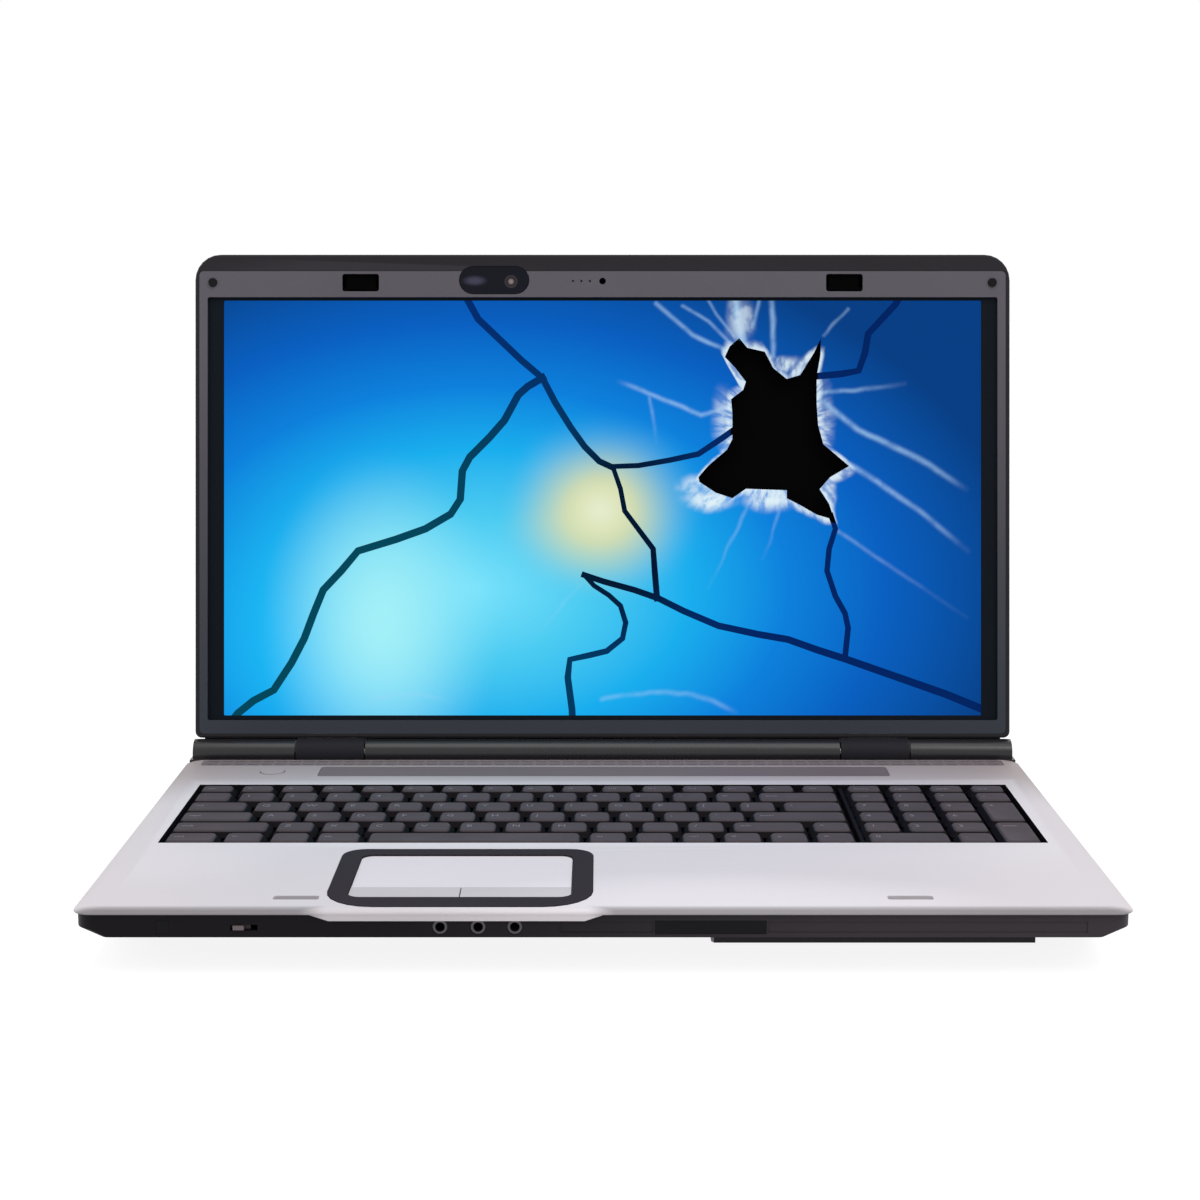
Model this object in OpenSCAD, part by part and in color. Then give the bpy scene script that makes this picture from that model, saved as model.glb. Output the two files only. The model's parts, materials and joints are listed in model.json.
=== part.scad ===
// A wide-screen laptop with a number pad, standing open, its screen glass
// cracked into shards and punched through. Millimetres, +Z up, the screen
// faces -Y, and the origin is under the middle of the machine on the table.

/* [Base] */
// Width of the base
base_w = 391; // [390:0.5:393]
// Depth of the base from the front lip to the rear edge
base_d = 244; // [244:0.5:248]
// Height of the silver deck above the table
deck_h = 27; // [27:0.5:29]
// Wall thickness of the moulded shells
wall = 1.8; // [1.6:0.1:2]
// Height of the rubber feet
foot_h = 2; // [1.8:0.1:2.2]

/* [Lid] */
// Width of the lid
lid_w = 385.5; // [384:0.5:387]
// Height of the lid panel above its lower edge
lid_h = 228.7; // [228.5:0.1:229.5]
// Thickness of the lid
lid_t = 11; // [10.8:0.1:12]
// Lean of the open lid behind upright, in degrees
lid_lean = 9.6; // [5:0.2:20]

/* [Screen] */
// Visible width of the screen
view_w = 359; // [356:1:360]
// Visible height of the screen
view_h = 196.7; // [194:0.1:197]
// Width scale of the wide cracks
crack_scale = 1; // [0.6:0.1:1.4]

/* [Keyboard] */
// Width of one letter key with its gap
key_pitch = 19.05; // [18.9:0.05:19.1]
// Depth of one row of keys with its gap
row_pitch = 16.2; // [16:0.1:16.2]
// Travel of a key
key_travel = 2; // [1.5:0.1:2]

/* [Touchpad] */
// Width of the dark surround
pad_ring_w = 99.8; // [98:0.2:101]
// Sideways place of the touchpad's middle
pad_x = -53.8; // [-55:0.2:-52]

/* [Hidden] */

$fn = 48;
gap = 0.15;                     // clearance between fitted pieces
half_w = base_w / 2;
case_x = half_w - 1;              // outer side of the bottom case
half_lid = lid_w / 2;
bottom_z = foot_h;              // underside of the bottom case
floor_z = bottom_z + 2;         // its inside floor
rim_z = deck_h - 2;             // top edge of the bottom case
skin_z = deck_h - wall;         // underside of the deck skin

// hinge line: barrels lie along X here
axis_y = base_d - 9;
axis_z = deck_h + 2;
barrel_r = 6.5;
barrel_in = 5.1;
barrel_end = half_w - 2.5;
strip_y = axis_y - barrel_r;    // front of the hinge barrel
knuckle_in = 112.5;             // inner and outer ends of each knuckle
knuckle_out = 144.5;

// lid, in its own frame: u across, v up from the hinge line, w out of the screen
lid_v0 = 7;
lid_v1 = lid_v0 + lid_h;
lid_front = 1;
lid_back = lid_front - lid_t;
lid_edge = 2.5;                 // chamfer round the back
apron_v = 5.2;
apron_w = [-8.6, -7.4];
brow_v = lid_v1 - 7.7;          // the back cover folds over the front above this
bezel_back = -0.6;
view_v0 = 17.5;
view_v1 = view_v0 + view_h;
frame_v0 = 12;
frame_v1 = view_v1 + 3.4;
frame_half = view_w / 2 + 8.9;
glass_w = [-2.7, -1.5];
diffuser_w = [-3.2, -2.8];
guide_w = [-5.4, -3.4];
camera_at = [-51.3, 223.6];
hook_u = 114.5;
hook_v = 219.6;
hook_w = -1.6;
bumper_u = 184.4;
bumper_v = 222.5;

// middle of the whole machine, from the front lip to the lid's back corner
lid_reach = axis_y + (lid_v1 - lid_edge) * sin(lid_lean) - lid_back * cos(lid_lean);
mid_y = lid_reach / 2;

// keyboard well
well_half = 181;
well_y0 = 88.3;
well_y1 = 182.2;
rear_seam = 194.5;              // between the top cover and the rear deck
keys_x0 = -180.8;
keys_y1 = 181.8;
function_pitch = 12.4;
pad_pitch = 18.35;
pad_x0 = 107.4;
cap_z0 = deck_h - 2.9;
cap_z1 = deck_h + 0.2;
plate_z = deck_h - 6.9;

// touch strip, grille and power button behind the keyboard
media_box = [-130.5, 131.5, 197.5, 215.5];
grille_box = [-187.5, 187.5, 217.5, 228.2];
power_at = [-152, 206];

// touchpad
pad_y0 = 3.4;
pad_y1 = 78.5;
pad_in = [pad_x - 42, pad_x + 42, 14.9, 70.5];
button_y = 28.6;

// front lip of the bottom case
lip_y = 1.5;
lip_z = 16;
slope_y = 47;

// inside the base
drive_x = [69, 189];
drive_y = [91, 221];
drive_z = [6.4, 18.6];
tray_x = [74, 189.5];
tray_z = [7.6, 16];
disc_at = [131, 156];
disc_r = 60.4;
board_z = [9, 10.5];
fan_at = [-152, 195];
fan_z = [6.6, 18.6];
battery_x = [-88, 62];
battery_y = 212;
battery_z = 17;
latch_y = 222;
hard_drive_box = [48, 148, 16.4, 86.4];
hard_drive_z = [13.6, 23.1];
memory_x = [-36, 31];
jack_x = [-60, -46, -32.5];
jack_z = 19.8;
infrared_x = [19, 60];
status_x = [-164.5, -159.5];
network_y = 146;
usb_y = [119, 131.5];
usb_shift = -84;                // the right side's sockets are further forward
socket_y = 228;
foot_at = [[-165, 56], [170, 58], [-165, 230], [165, 230]];
screw_at = [
    [-170, 80], [-170, 150], [-60, 60], [20, 88], [175, 80],
    [-111, 226], [111, 226], [0, 205]
];
standoff_at = [
    [-180, 98], [-110, 98], [52, 98], [52, 200], [-50, 200], [-112, 200], [-180, 160]
];

colour_black = [0.12, 0.115, 0.125];
colour_graphite = [0.34, 0.335, 0.35];
colour_silver = [0.84, 0.83, 0.85];
colour_key = [0.2, 0.19, 0.21];
colour_steel = [0.72, 0.73, 0.75];
colour_board = [0.1, 0.32, 0.18];

// ---------------------------------------------------------------- outlines

function arc(centre, r, from, to, steps = 6) = [
    for (i = [0:steps])
        let (a = from + (to - from) * i / steps)
        centre + r * [cos(a), sin(a)]
];

// a rectangle [x0, x1, y0, y1] with its far and near corners rounded
function rounded(box, far_r, near_r) = concat(
    arc([box[1] - far_r, box[3] - far_r], far_r, 0, 90),
    arc([box[0] + far_r, box[3] - far_r], far_r, 90, 180),
    arc([box[0] + near_r, box[2] + near_r], near_r, 180, 270),
    arc([box[1] - near_r, box[2] + near_r], near_r, 270, 360)
);

function span(middle, half) = [middle - half, middle + half];

function grown(box, by) = [box[0] - by, box[1] + by, box[2] - by, box[3] + by];

function capsule(centre, length, r) = concat(
    arc(centre + [length / 2 - r, 0], r, -90, 90, 10),
    arc(centre - [length / 2 - r, 0], r, 90, 270, 10)
);

module plate(box, z0, z1, far_r = 0, near_r = -1) {
    near = near_r < 0 ? far_r : near_r;
    translate([0, 0, z0])
        linear_extrude(z1 - z0)
            if (far_r > 0) {
                polygon(rounded(box, far_r, near));
            } else {
                translate([box[0], box[2]])
                    square([box[1] - box[0], box[3] - box[2]]);
            }
}

module block(x, y, z) {
    translate([x[0], y[0], z[0]])
        cube([x[1] - x[0], y[1] - y[0], z[1] - z[0]]);
}

// a cylinder along X
module bar(x, y, z, r) {
    translate([x[0], y, z])
        rotate([0, 90, 0])
            cylinder(h = x[1] - x[0], r = r);
}

// a cylinder along Y
module bore_y(x, y, z, r) {
    translate([x, y[0], z])
        rotate([-90, 0, 0])
            cylinder(h = y[1] - y[0], r = r);
}

// a many-sided hole through a wall, along Y
module wall_hole_y(x, y, z, r) {
    translate([x, y[0], z])
        rotate([-90, 0, 0])
            linear_extrude(y[1] - y[0])
                polygon(arc([0, 0], r, 0, 345, 23));
}

// a profile of [y, z] points, drawn out along X
module along_x(x, profile) {
    translate([x[0], 0, 0])
        rotate([90, 0, 90])
            linear_extrude(x[1] - x[0])
                polygon(profile);
}

module both_sides() {
    children();
    mirror([1, 0, 0])
        children();
}

// from the machine's own measures (y from the front lip) to the row frame
module in_base() {
    translate([0, -mid_y, 0])
        children();
}

// from the lid's u, v, w to the row frame
module in_lid() {
    translate([0, axis_y - mid_y, axis_z])
        rotate([90 - lid_lean, 0, 0])
            children();
}

// ---------------------------------------------------------------- the damage

// each crack: [points, width at its start, width at its end], u and v on the screen
cracks = [
    [[[-66, 206], [-64, 197], [-59, 188], [-48.5, 178], [-38.5, 168.5], [-28.5, 160],
      [-22.5, 148.5], [-15, 136.5], [-8.5, 127.5], [-1.5, 120.5], [5, 117.5]], 3.4, 3],
    [[[-27, 161], [-35.5, 156], [-40, 152], [-46.5, 140], [-53.5, 132], [-63, 122.5],
      [-66.5, 116], [-67.5, 102.5], [-72, 95.5], [-84, 88.5], [-98, 83.5], [-116, 78],
      [-124, 68.5], [-132.5, 59.5], [-137, 48.5], [-141.5, 36.5], [-147.5, 25],
      [-156, 12], [-165.5, 7], [-173, 1], [-180, -8]], 3.6, 3.6],
    [[[3, 118], [17, 118.5], [31.5, 121], [45.5, 124], [56, 131], [66, 138]], 2.4, 3],
    [[[4.5, 119], [8.5, 107.5], [10.5, 97], [18, 87], [24, 79], [24.8, 67.5],
      [26, 54]], 2.2, 3],
    [[[-10, 67], [0.5, 63.5], [15, 59.5], [26.5, 55.5], [38.5, 49.5], [55, 42.5],
      [73.5, 38.5], [88, 36], [102, 31], [116, 26.5], [139.5, 18], [163, 10],
      [180, 3], [190, -3]], 2.8, 3.8],
    [[[-9.5, 67.5], [-4, 61.5], [3, 57], [8.5, 52], [11, 44], [9.5, 36.5], [2, 30.5],
      [-6.5, 28.5], [-15.5, 26.5], [-16.5, 18], [-14.5, 3], [-14, -8]], 2.2, 3.4],
    [[[108, 96], [110.5, 88.5], [107.5, 79], [106.5, 68.5], [110.5, 56.5], [115, 48.5],
      [116.5, 41.5], [115, 27]], 2.6, 2.8],
    [[[97, 160.5], [103, 161], [113.5, 162], [121.5, 163.5], [124.5, 172], [126, 181],
      [132.5, 188], [139, 195], [145, 206]], 3.2, 3.2]
];

// the punched hole, clockwise from its upper left spike
hole = [
    [64.8, 179], [68.7, 174.4], [77, 172.5], [81, 164.8], [87.4, 159.6], [93.8, 161.5],
    [100.3, 172], [103.6, 179], [103.4, 171], [101.6, 161], [101.6, 148], [102.3, 137.6],
    [104.8, 128.6], [117, 118.3], [108, 113], [103, 107.3], [107.5, 100.4], [110, 92.7],
    [101.6, 95.2], [93.8, 99.7], [87.4, 103], [87.4, 106.8], [68, 107.5], [61.6, 103],
    [53.8, 105.6], [46, 110.7], [45.5, 113], [50, 118.3], [59, 126], [61.6, 131.2],
    [61.6, 142.8], [61, 150], [66.7, 154.4], [68, 158.3], [63, 164.8], [58, 170],
    [60.3, 175]
];
hole_middle = [82, 135];

// one side of a crack: each point is moved square to the line through its neighbours
function crack_side(crack, side) =
    let (p = crack[0], n = len(p))
    [
        for (i = [0:n - 1])
            let (
                along = p[min(i + 1, n - 1)] - p[max(i - 1, 0)],
                wide = (crack[1] + (crack[2] - crack[1]) * i / (n - 1)) * crack_scale
            )
            p[i] + side * wide / 2 * [-along[1], along[0]] / norm(along)
    ];

function backwards(list) = [for (i = [len(list) - 1:-1:0]) list[i]];

module crack_cut(crack, w) {
    translate([0, view_v0, w[0] - 1])
        linear_extrude(w[1] - w[0] + 2)
            polygon(concat(crack_side(crack, 1), backwards(crack_side(crack, -1))));
}

// the hole, spread by a factor about its middle
module hole_cut(w, spread = 1) {
    translate([0, view_v0, w[0] - 1])
        linear_extrude(w[1] - w[0] + 2)
            polygon([for (p = hole) hole_middle + spread * (p - hole_middle)]);
}

// ---------------------------------------------------------------- the lid

module lid_outline(w0, w1, inset = 0) {
    box = [-half_lid + inset, half_lid - inset, lid_v0 + inset, lid_v1 - inset];
    plate(box, w0, w1, 12 - inset, 3 - inset);
}

module lid_back_cover() {
    slot_u = [knuckle_in + 2.5, knuckle_out - 2.5];
    color(colour_black)
        in_lid()
            difference() {
                union() {
                    hull() {
                        lid_outline(lid_back + lid_edge, lid_front - 0.6);
                        lid_outline(lid_back + lid_edge * 0.3, lid_front, lid_edge * 0.3);
                        lid_outline(lid_back, lid_back + 1, lid_edge);
                    }
                    // an apron behind the barrels, so no light shows under the lid
                    block([-half_lid + 3, half_lid - 3], [apron_v, lid_v0 + 1], apron_w);
                }
                lid_outline(lid_back + wall, bezel_back - gap, wall);
                // the front is open below the folded brow
                plate([-half_lid + wall, half_lid - wall, lid_v0 + wall, brow_v],
                      bezel_back - 1, lid_front + 1, 2);
                camera_cut();
                // slots in the lower wall for the hinge arms
                both_sides()
                    block(slot_u, [lid_v0 - 1, lid_v0 + wall + 1], [-2.9, -0.7]);
            }
}

module camera_cut() {
    translate([0, 0, bezel_back - 1])
        linear_extrude(4)
            polygon(capsule(camera_at, 33.4, 6.7));
}

module lid_bezel() {
    outer = [-half_lid + wall + gap, half_lid - wall - gap, lid_v0 + wall + gap, brow_v - gap];
    inner = [-frame_half + 1.4, frame_half - 1.4, view_v0 - 2.2, view_v1 + 1.4];
    color(colour_graphite)
        in_lid()
            difference() {
                union() {
                    plate(outer, bezel_back, lid_front, 2);
                    // bearing blocks for the latch hooks' pivots
                    for (u = [-hook_u, hook_u], side = [-1, 1])
                        block(span(u + side * 9.9, 1), span(hook_v, 1.7), [-3.6, bezel_back + 0.1]);
                }
                plate(inner, bezel_back - 1, lid_front + 1, 1);
                camera_cut();
                for (u = [-hook_u, hook_u]) {
                    plate([u - 8.7, u + 8.7, 218.3, 226.6], -5, 3, 1.2);
                    bar(span(u, 12), hook_v, hook_w, 0.95);
                }
                for (u = [-bumper_u, bumper_u])
                    translate([u, bumper_v, -2])
                        cylinder(h = 5, r = 2.1);
                // microphone hole and its three small vents
                translate([0, 223.2, -2])
                    cylinder(h = 5, r = 1.6);
                for (u = [-14, -10, -6])
                    translate([u, 223.2, -2])
                        cylinder(h = 5, r = 0.5);
            }
}

module lid_bumpers() {
    color([0.06, 0.06, 0.06])
        in_lid()
            for (u = [-bumper_u, bumper_u])
                translate([u, bumper_v, bezel_back - 0.8])
                    cylinder(h = 3.3, r = 2);
}

module screen_sheet(w, spread) {
    difference() {
        plate([-frame_half + 6.4, frame_half - 6.4, frame_v0 + 4.2, frame_v1 - 1],
              w[0], w[1], 1);
        hole_cut(w, spread);
    }
}

module screen_glass() {
    color([0.1, 0.5, 0.85])
        in_lid()
            difference() {
                plate([-frame_half + 6.2, frame_half - 6.2, frame_v0 + 3.2, frame_v1 - 1],
                      glass_w[0], glass_w[1], 0.8);
                hole_cut(glass_w);
                for (c = cracks)
                    crack_cut(c, glass_w);
            }
}

module diffuser_sheet() {
    color([0.93, 0.94, 0.95])
        in_lid()
            screen_sheet(diffuser_w, 1.04);
}

module light_guide() {
    color([0.85, 0.9, 0.93])
        in_lid()
            screen_sheet(guide_w, 1.06);
}

module screen_frame() {
    inner = [-frame_half + 6, frame_half - 6, frame_v0 + 1, frame_v1 - 0.8];
    color([0.09, 0.09, 0.1])
        in_lid()
            difference() {
                plate([-frame_half, frame_half, frame_v0, frame_v1], -6.7, -0.8, 1.5);
                plate(inner, -7, glass_w[1] + 0.1, 1);
                plate([-view_w / 2, view_w / 2, view_v0, view_v1], -7, 0, 0.6);
            }
}

module backlight_tube() {
    color([0.95, 0.95, 0.9])
        in_lid()
            bar([-176, 176], 14.5, -4.4, 1.1);
}

module screen_driver_board() {
    color(colour_board)
        in_lid() {
            block([-150, 150], [196, 212], [-7.9, -7]);
            for (u = [-120:40:120])
                block([u - 6, u + 6], [201, 206], [-7.05, -6]);
        }
}

module backlight_inverter() {
    color(colour_board)
        in_lid() {
            block([-20, 90], [15, 25], [-8.05, -7.2]);
            block([60, 82], [17, 24], [-7.25, -5.7]);
            block([-18, -8], [17, 23], [-7.25, -6]);
        }
}

module webcam_window() {
    color([0.03, 0.03, 0.05])
        in_lid()
            translate([0, 0, bezel_back + 0.1])
                linear_extrude(lid_front - bezel_back - 0.1)
                    polygon(capsule(camera_at, 33, 6.5));
}

module webcam_module() {
    lens = camera_at + [8.7, 0];
    color(colour_board)
        in_lid() {
            block(span(camera_at[0], 15), span(camera_at[1], 4.5), [-4.6, -3.4]);
            translate([lens[0], lens[1], -3.5])
                cylinder(h = 2.8, r = 3);
        }
}

// hooks folded flat behind the bezel; they swing out on their pivot bars
module latch_hooks() {
    color([0.13, 0.12, 0.13])
        in_lid()
            for (u = [-hook_u, hook_u]) {
                bar(span(u, 10.8), hook_v, hook_w, 0.9);
                block(span(u, 7), [hook_v, hook_v + 6.6], span(hook_w, 0.8));
                block(span(u, 7), [hook_v + 5, hook_v + 6.6], [hook_w - 1.8, hook_w - 0.7]);
            }
}

// steel arm: a shaft in the knuckle and a cranked tab behind the screen
module hinge_arms() {
    tab = [
        [0, -1], [11.7, -1], [11.7, -6.9], [60, -6.9], [60, -8.1], [10.5, -8.1],
        [10.5, -2.2], [0, -2.2]
    ];
    color(colour_steel)
        in_lid()
            both_sides() {
                bar([96, knuckle_out - 2.2], 0, 0, 2.5);
                along_x([knuckle_in + 4, knuckle_out - 4], tab);
            }
}

// plastic knuckle round each arm's shaft
module hinge_caps() {
    color(colour_graphite)
        in_lid()
            both_sides()
                difference() {
                    union() {
                        bar([knuckle_in, knuckle_out], 0, 0, barrel_r);
                        block([knuckle_in, knuckle_out], [0, lid_v0 - 0.1], [-6.2, 0.9]);
                    }
                    bar([knuckle_in - 1, knuckle_out - 1.8], 0, 0, 4.9);
                    block([knuckle_in + 2.5, knuckle_out - 2.5], [0, lid_v0 + 1], [-3.4, -0.4]);
                }
}

// ---------------------------------------------------------------- the base

module base_outline(z0, z1, inset, side) {
    box = [-half_w + side, half_w - side, inset, base_d + 8];
    plate(box, z0, z1, 3, 7 - inset);
}

// the deck falls away in a wide shoulder at both sides
module deck_shell() {
    difference() {
        hull() {
            base_outline(deck_h - 0.2, deck_h, 2.6, 7.4);
            base_outline(deck_h - 0.7, deck_h - 0.5, 0.9, 3.4);
            base_outline(rim_z, rim_z + 0.4, 0, 0);
        }
        base_outline(rim_z - 1, skin_z - 0.2, wall, wall);
        base_outline(rim_z - 1, skin_z, wall, 6);
    }
}

// the silver top: palm rest and keyboard surround in one, with the keyboard's well
module top_cover() {
    color(colour_silver)
        in_base() {
            difference() {
                union() {
                    intersection() {
                        deck_shell();
                        block([-half_w - 1, half_w + 1], [-1, rear_seam - 0.1], [0, 50]);
                    }
                    front_dip();
                }
                block([-well_half, well_half], [well_y0, well_y1], [0, 50]);
                plate(grown(pad_ring(), gap), 0, 50, 9, 19);
                for (u = [-hook_u, hook_u])
                    plate([u - 8.5, u + 8.5, 12.6, 17.2], 0, 50, 1);
            }
            keyboard_well();
        }
}

// the front lip is deeper in front of the touchpad
module front_dip() {
    dip = [pad_x - 54, pad_x + 54];
    hull() {
        block(dip, [0.1, lip_y - 0.1], [rim_z, rim_z + 1]);
        block(dip + [7, -7], [0.2, lip_y - 0.1], [rim_z - 2.4, rim_z]);
    }
}

// walls and a ledge that hold the keyboard
module keyboard_well() {
    well = [-well_half, well_half, well_y0, well_y1];
    difference() {
        plate(grown(well, 1.6), plate_z - 1.2, skin_z + 0.1);
        plate(well, plate_z, 50);
        plate(grown(well, -4), 0, 50);
    }
}

function pad_ring() = [pad_x - pad_ring_w / 2, pad_x + pad_ring_w / 2, pad_y0, pad_y1];

// a separate silver strip behind the keyboard, round the power button and grille
module rear_deck() {
    color(colour_silver)
        in_base()
            difference() {
                intersection() {
                    deck_shell();
                    block([-half_w - 1, half_w + 1], [rear_seam, strip_y - gap], [0, 50]);
                }
                for (box = [media_box, grille_box]) {
                    plate(box, deck_h - 1, 50, 2);
                    plate(grown(box, -2), 0, 50, 1);
                }
                translate([power_at[0], power_at[1], 0])
                    cylinder(h = 50, r = 5.8);
            }
}

module media_strip() {
    color([0.45, 0.44, 0.46])
        in_base()
            plate(grown(media_box, -gap), deck_h - 1, deck_h - 0.05, 1.9);
}

// a perforated bar across the rear of the deck
module speaker_grille() {
    slots = 58;
    slot_pitch = 6.4;
    color([0.5, 0.49, 0.51])
        in_base()
            difference() {
                plate(grown(grille_box, -gap), deck_h - 1, deck_h - 0.1, 1.9);
                for (i = [0:slots - 1])
                    let (x = (i - (slots - 1) / 2) * slot_pitch)
                    for (y = [220.4, 225.2])
                        block([x - 2.4, x + 2.4], span(y, 0.6), [deck_h - 5, deck_h + 5]);
            }
}

module power_button() {
    color(colour_silver)
        in_base()
            translate([power_at[0], power_at[1], deck_h - 3.2]) {
                cylinder(h = 3.7, r = 5.5);
                translate([0, 0, -1])
                    cylinder(h = 1.1, r = 7);
            }
}

module speakers() {
    color([0.16, 0.16, 0.17])
        in_base()
            both_sides()
                translate([165, 219, skin_z - 4.2]) {
                    cylinder(h = 4, r = 8.2);
                    translate([0, 0, -0.8])
                        cylinder(h = 1, r = 6);
                }
}

// rear trim with a hollow barrel in three stretches; the knuckles run between them
module hinge_cover() {
    body = [[strip_y, deck_h - 8], [base_d, deck_h - 8], [base_d, deck_h - 1.2],
            [base_d - 1.2, deck_h], [strip_y, deck_h]];
    color([0.2, 0.195, 0.21])
        in_base()
            difference() {
                union() {
                    along_x([-case_x, case_x], body);
                    bar([-barrel_end, barrel_end], axis_y, axis_z, barrel_r);
                }
                barrel_hollow([-knuckle_in + 2, knuckle_in - 2]);
                both_sides() {
                    barrel_hollow([knuckle_out + 2, barrel_end - 1.8]);
                    bar([knuckle_in - 0.6, knuckle_out + 0.6], axis_y, axis_z, barrel_r + 0.7);
                    block([knuckle_in - 0.6, knuckle_out + 0.6],
                          [strip_y - 1, axis_y + barrel_r + 0.7], [deck_h - 0.4, deck_h + 12]);
                    bar([knuckle_in - 3, knuckle_in], axis_y, axis_z, 3.2);
                }
            }
}

module barrel_hollow(x) {
    bar(x, axis_y, axis_z, barrel_in);
    block(x, [axis_y - 4.6, base_d - wall], [deck_h - 9, deck_h - wall]);
}

// steel bracket: a friction barrel on the arm's shaft, a web and a screwed foot
module hinge_brackets() {
    color(colour_steel)
        in_base()
            both_sides()
                difference() {
                    union() {
                        bar([97, 110], axis_y, axis_z, 4.6);
                        block([97, 110], span(axis_y, 1.2), [floor_z + 1, axis_z]);
                        block([90, 114], [221, 238], [floor_z, floor_z + 1.5]);
                    }
                    bar([90, 120], axis_y, axis_z, 2.55);
                    for (x = [93, 111])
                        translate([x, 226, 0])
                            cylinder(h = 20, r = 1.5);
                }
}

module bottom_body(inset, top) {
    hull() {
        // front lip, its lower edge drawn in at both corners
        plate([-case_x + inset, case_x - inset, lip_y + inset, base_d - 0.5 - inset],
              lip_z + 3 + inset / 2, top, 3, 8 - inset);
        plate([-185 + inset, 185 - inset, lip_y + inset, 60], lip_z + inset / 2, top, 3);
        plate([-case_x + inset, case_x - inset, slope_y + inset, base_d - 0.5 - inset],
              6 + inset / 2, top, 3, 6);
        plate([-189 + inset, 189 - inset, slope_y + inset, base_d - 3 - inset],
              bottom_z + inset, top, 4, 10);
    }
}

module base_bottom() {
    color(colour_black)
        in_base()
            difference() {
                union() {
                    difference() {
                        bottom_body(0, rim_z);
                        difference() {
                            bottom_body(2, rim_z + 1);
                            // the front wall stays thick enough to hold the jacks
                            block([-200, 200], [0, lip_y + 2], [0, 50]);
                        }
                    }
                    bottom_supports();
                }
                // rear trim and hinge
                block([-200, 200], [strip_y - 0.2, base_d + 1], [deck_h - 8.1, 50]);
                // room for the flange of the touchpad surround
                block(span(pad_x, pad_ring_w / 2 + 2), [2, lip_y + 3], [skin_z - 1.1, 50]);
                // the optical drive's bezel
                block([180, 200], span(156, 65.3), [drive_z[0] - 0.2, drive_z[1] + 0.2]);
                // battery bay
                block([battery_x[0] - gap, battery_x[1] + gap], [battery_y - gap, base_d + 1],
                      [0, battery_z + gap]);
                // doors under the memory and the hard drive
                block([-38, 34], [100, 163], [0, floor_z + 1]);
                block([47, 149], [15.8, 92], [0, 13.4]);
                // slot for the battery latch, and the hole for its tongue
                block([67.5, 81.5], span(latch_y, 2.9), [0, floor_z + 0.1]);
                block([60, 66], span(latch_y, 2.5), [floor_z - 0.1, floor_z + 1.7]);
                fan_vents();
                front_cuts();
                side_cuts();
                for (p = screw_at)
                    translate([p[0], p[1], 0])
                        cylinder(h = floor_z + 1, r = 1.4);
            }
}

// posts, rails and the battery bay's walls, standing on the floor
module bottom_supports() {
    for (p = standoff_at)
        translate([p[0], p[1], floor_z - 1])
            cylinder(h = board_z[0] - floor_z + 1, r = 2.6);
    for (x = [-22, 22], y = [-21, 21])
        translate([fan_at[0] + x, fan_at[1] + y, floor_z - 1])
            cylinder(h = fan_z[0] - floor_z + 1, r = 3);
    for (y = [98, 208])
        block([72, 180], span(y, 3), [floor_z - 1, drive_z[0]]);
    block([battery_x[0] - 1.6, battery_x[1] + 1.6], [battery_y - 1.6, base_d - 0.6],
          [floor_z - 1, battery_z + 1.6]);
    // a stiffening rib along the bay's front wall
    block([battery_x[0] - 1.6, battery_x[1] + 1.6], [battery_y - 1.6, battery_y - 0.2],
          [battery_z, battery_z + 4]);
}

module fan_vents() {
    for (i = [-3:3])
        block(span(fan_at[0], 15), span(fan_at[1] + i * 4.4, 1), [0, floor_z + 1]);
    for (i = [0:10])
        block([-200, -180], span(174 + i * 4, 1), [9, 18]);
}

module front_cuts() {
    for (x = jack_x)
        wall_hole_y(x, [0, 5], jack_z, 2.9);
    block([-137, -127], [0, 5], [18.6, 20.8]);
    for (x = [infrared_x, status_x])
        block(x, [0, lip_y + 0.8], [17.2, 22.4]);
    // shallow inset bands beside the infrared window
    for (x = [[-16, infrared_x[0] - 0.5], [infrared_x[1] + 0.5, 178]])
        block(x, [0, lip_y + 0.4], [17.8, 22]);
}

module side_cuts() {
    block([-200, -180], span(network_y, 6.2), [10.6, 18.2]);
    for (y = usb_y) {
        block([-200, -180], span(y, 6), [11, 16]);
        block([180, 200], span(y + usb_shift, 6), [11, 16]);
    }
    block([-200, -180], span(101, 11.3), [10.3, 18.1]);
    // a many-sided hole for the power inlet
    translate([-200, socket_y, 12])
        rotate([90, 0, 90])
            linear_extrude(20)
                polygon(arc([0, 0], 3.4, 0, 345, 23));
}

// a bulged door, with four posts that carry the hard drive
module hard_drive_cover() {
    profile = [
        [7, 12.1], [7, 14.25], [slope_y, 1.95], [112, 1.95], [112, 1], [110.5, 0.6],
        [44, 0.6]
    ];
    color(colour_black)
        in_base() {
            intersection() {
                along_x([41, 160], profile);
                hull() {
                    block([41, 160], [0, 120], [6, 20]);
                    block([46, 146], [0, 120], [0.6, 1]);
                }
            }
            for (x = [54, 142], y = [24, 80])
                translate([x, y, y < slope_y ? 8 : 1])
                    cylinder(h = hard_drive_z[0] - (y < slope_y ? 8 : 1), r = 3);
        }
}

module memory_cover() {
    color(colour_black)
        in_base()
            hull() {
                plate([-42, 39, 96, 167], 1.4, bottom_z, 3);
                plate([-41, 38, 97, 166], 0.9, 1.5, 3);
            }
}

// ---------------------------------------------------------------- keyboard

// rows from the back: each [widths in key pitches], the back of the row and its depth
row_function = [for (i = [0:15]) 15 / 16];
row_numbers = concat([for (i = [0:12]) 1], [2]);
row_upper = concat([1.5], [for (i = [0:11]) 1], [1.5]);
row_home = concat([1.75], [for (i = [0:10]) 1], [2.25]);
row_lower = concat([2.25], [for (i = [0:9]) 1], [1.75, 1]);
row_modifiers = [1.25, 1, 1, 1.1, -4.75, 1, 1, 0.9, 1, 1, 1];
space_widths = [-4.35, 4.75];

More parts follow.
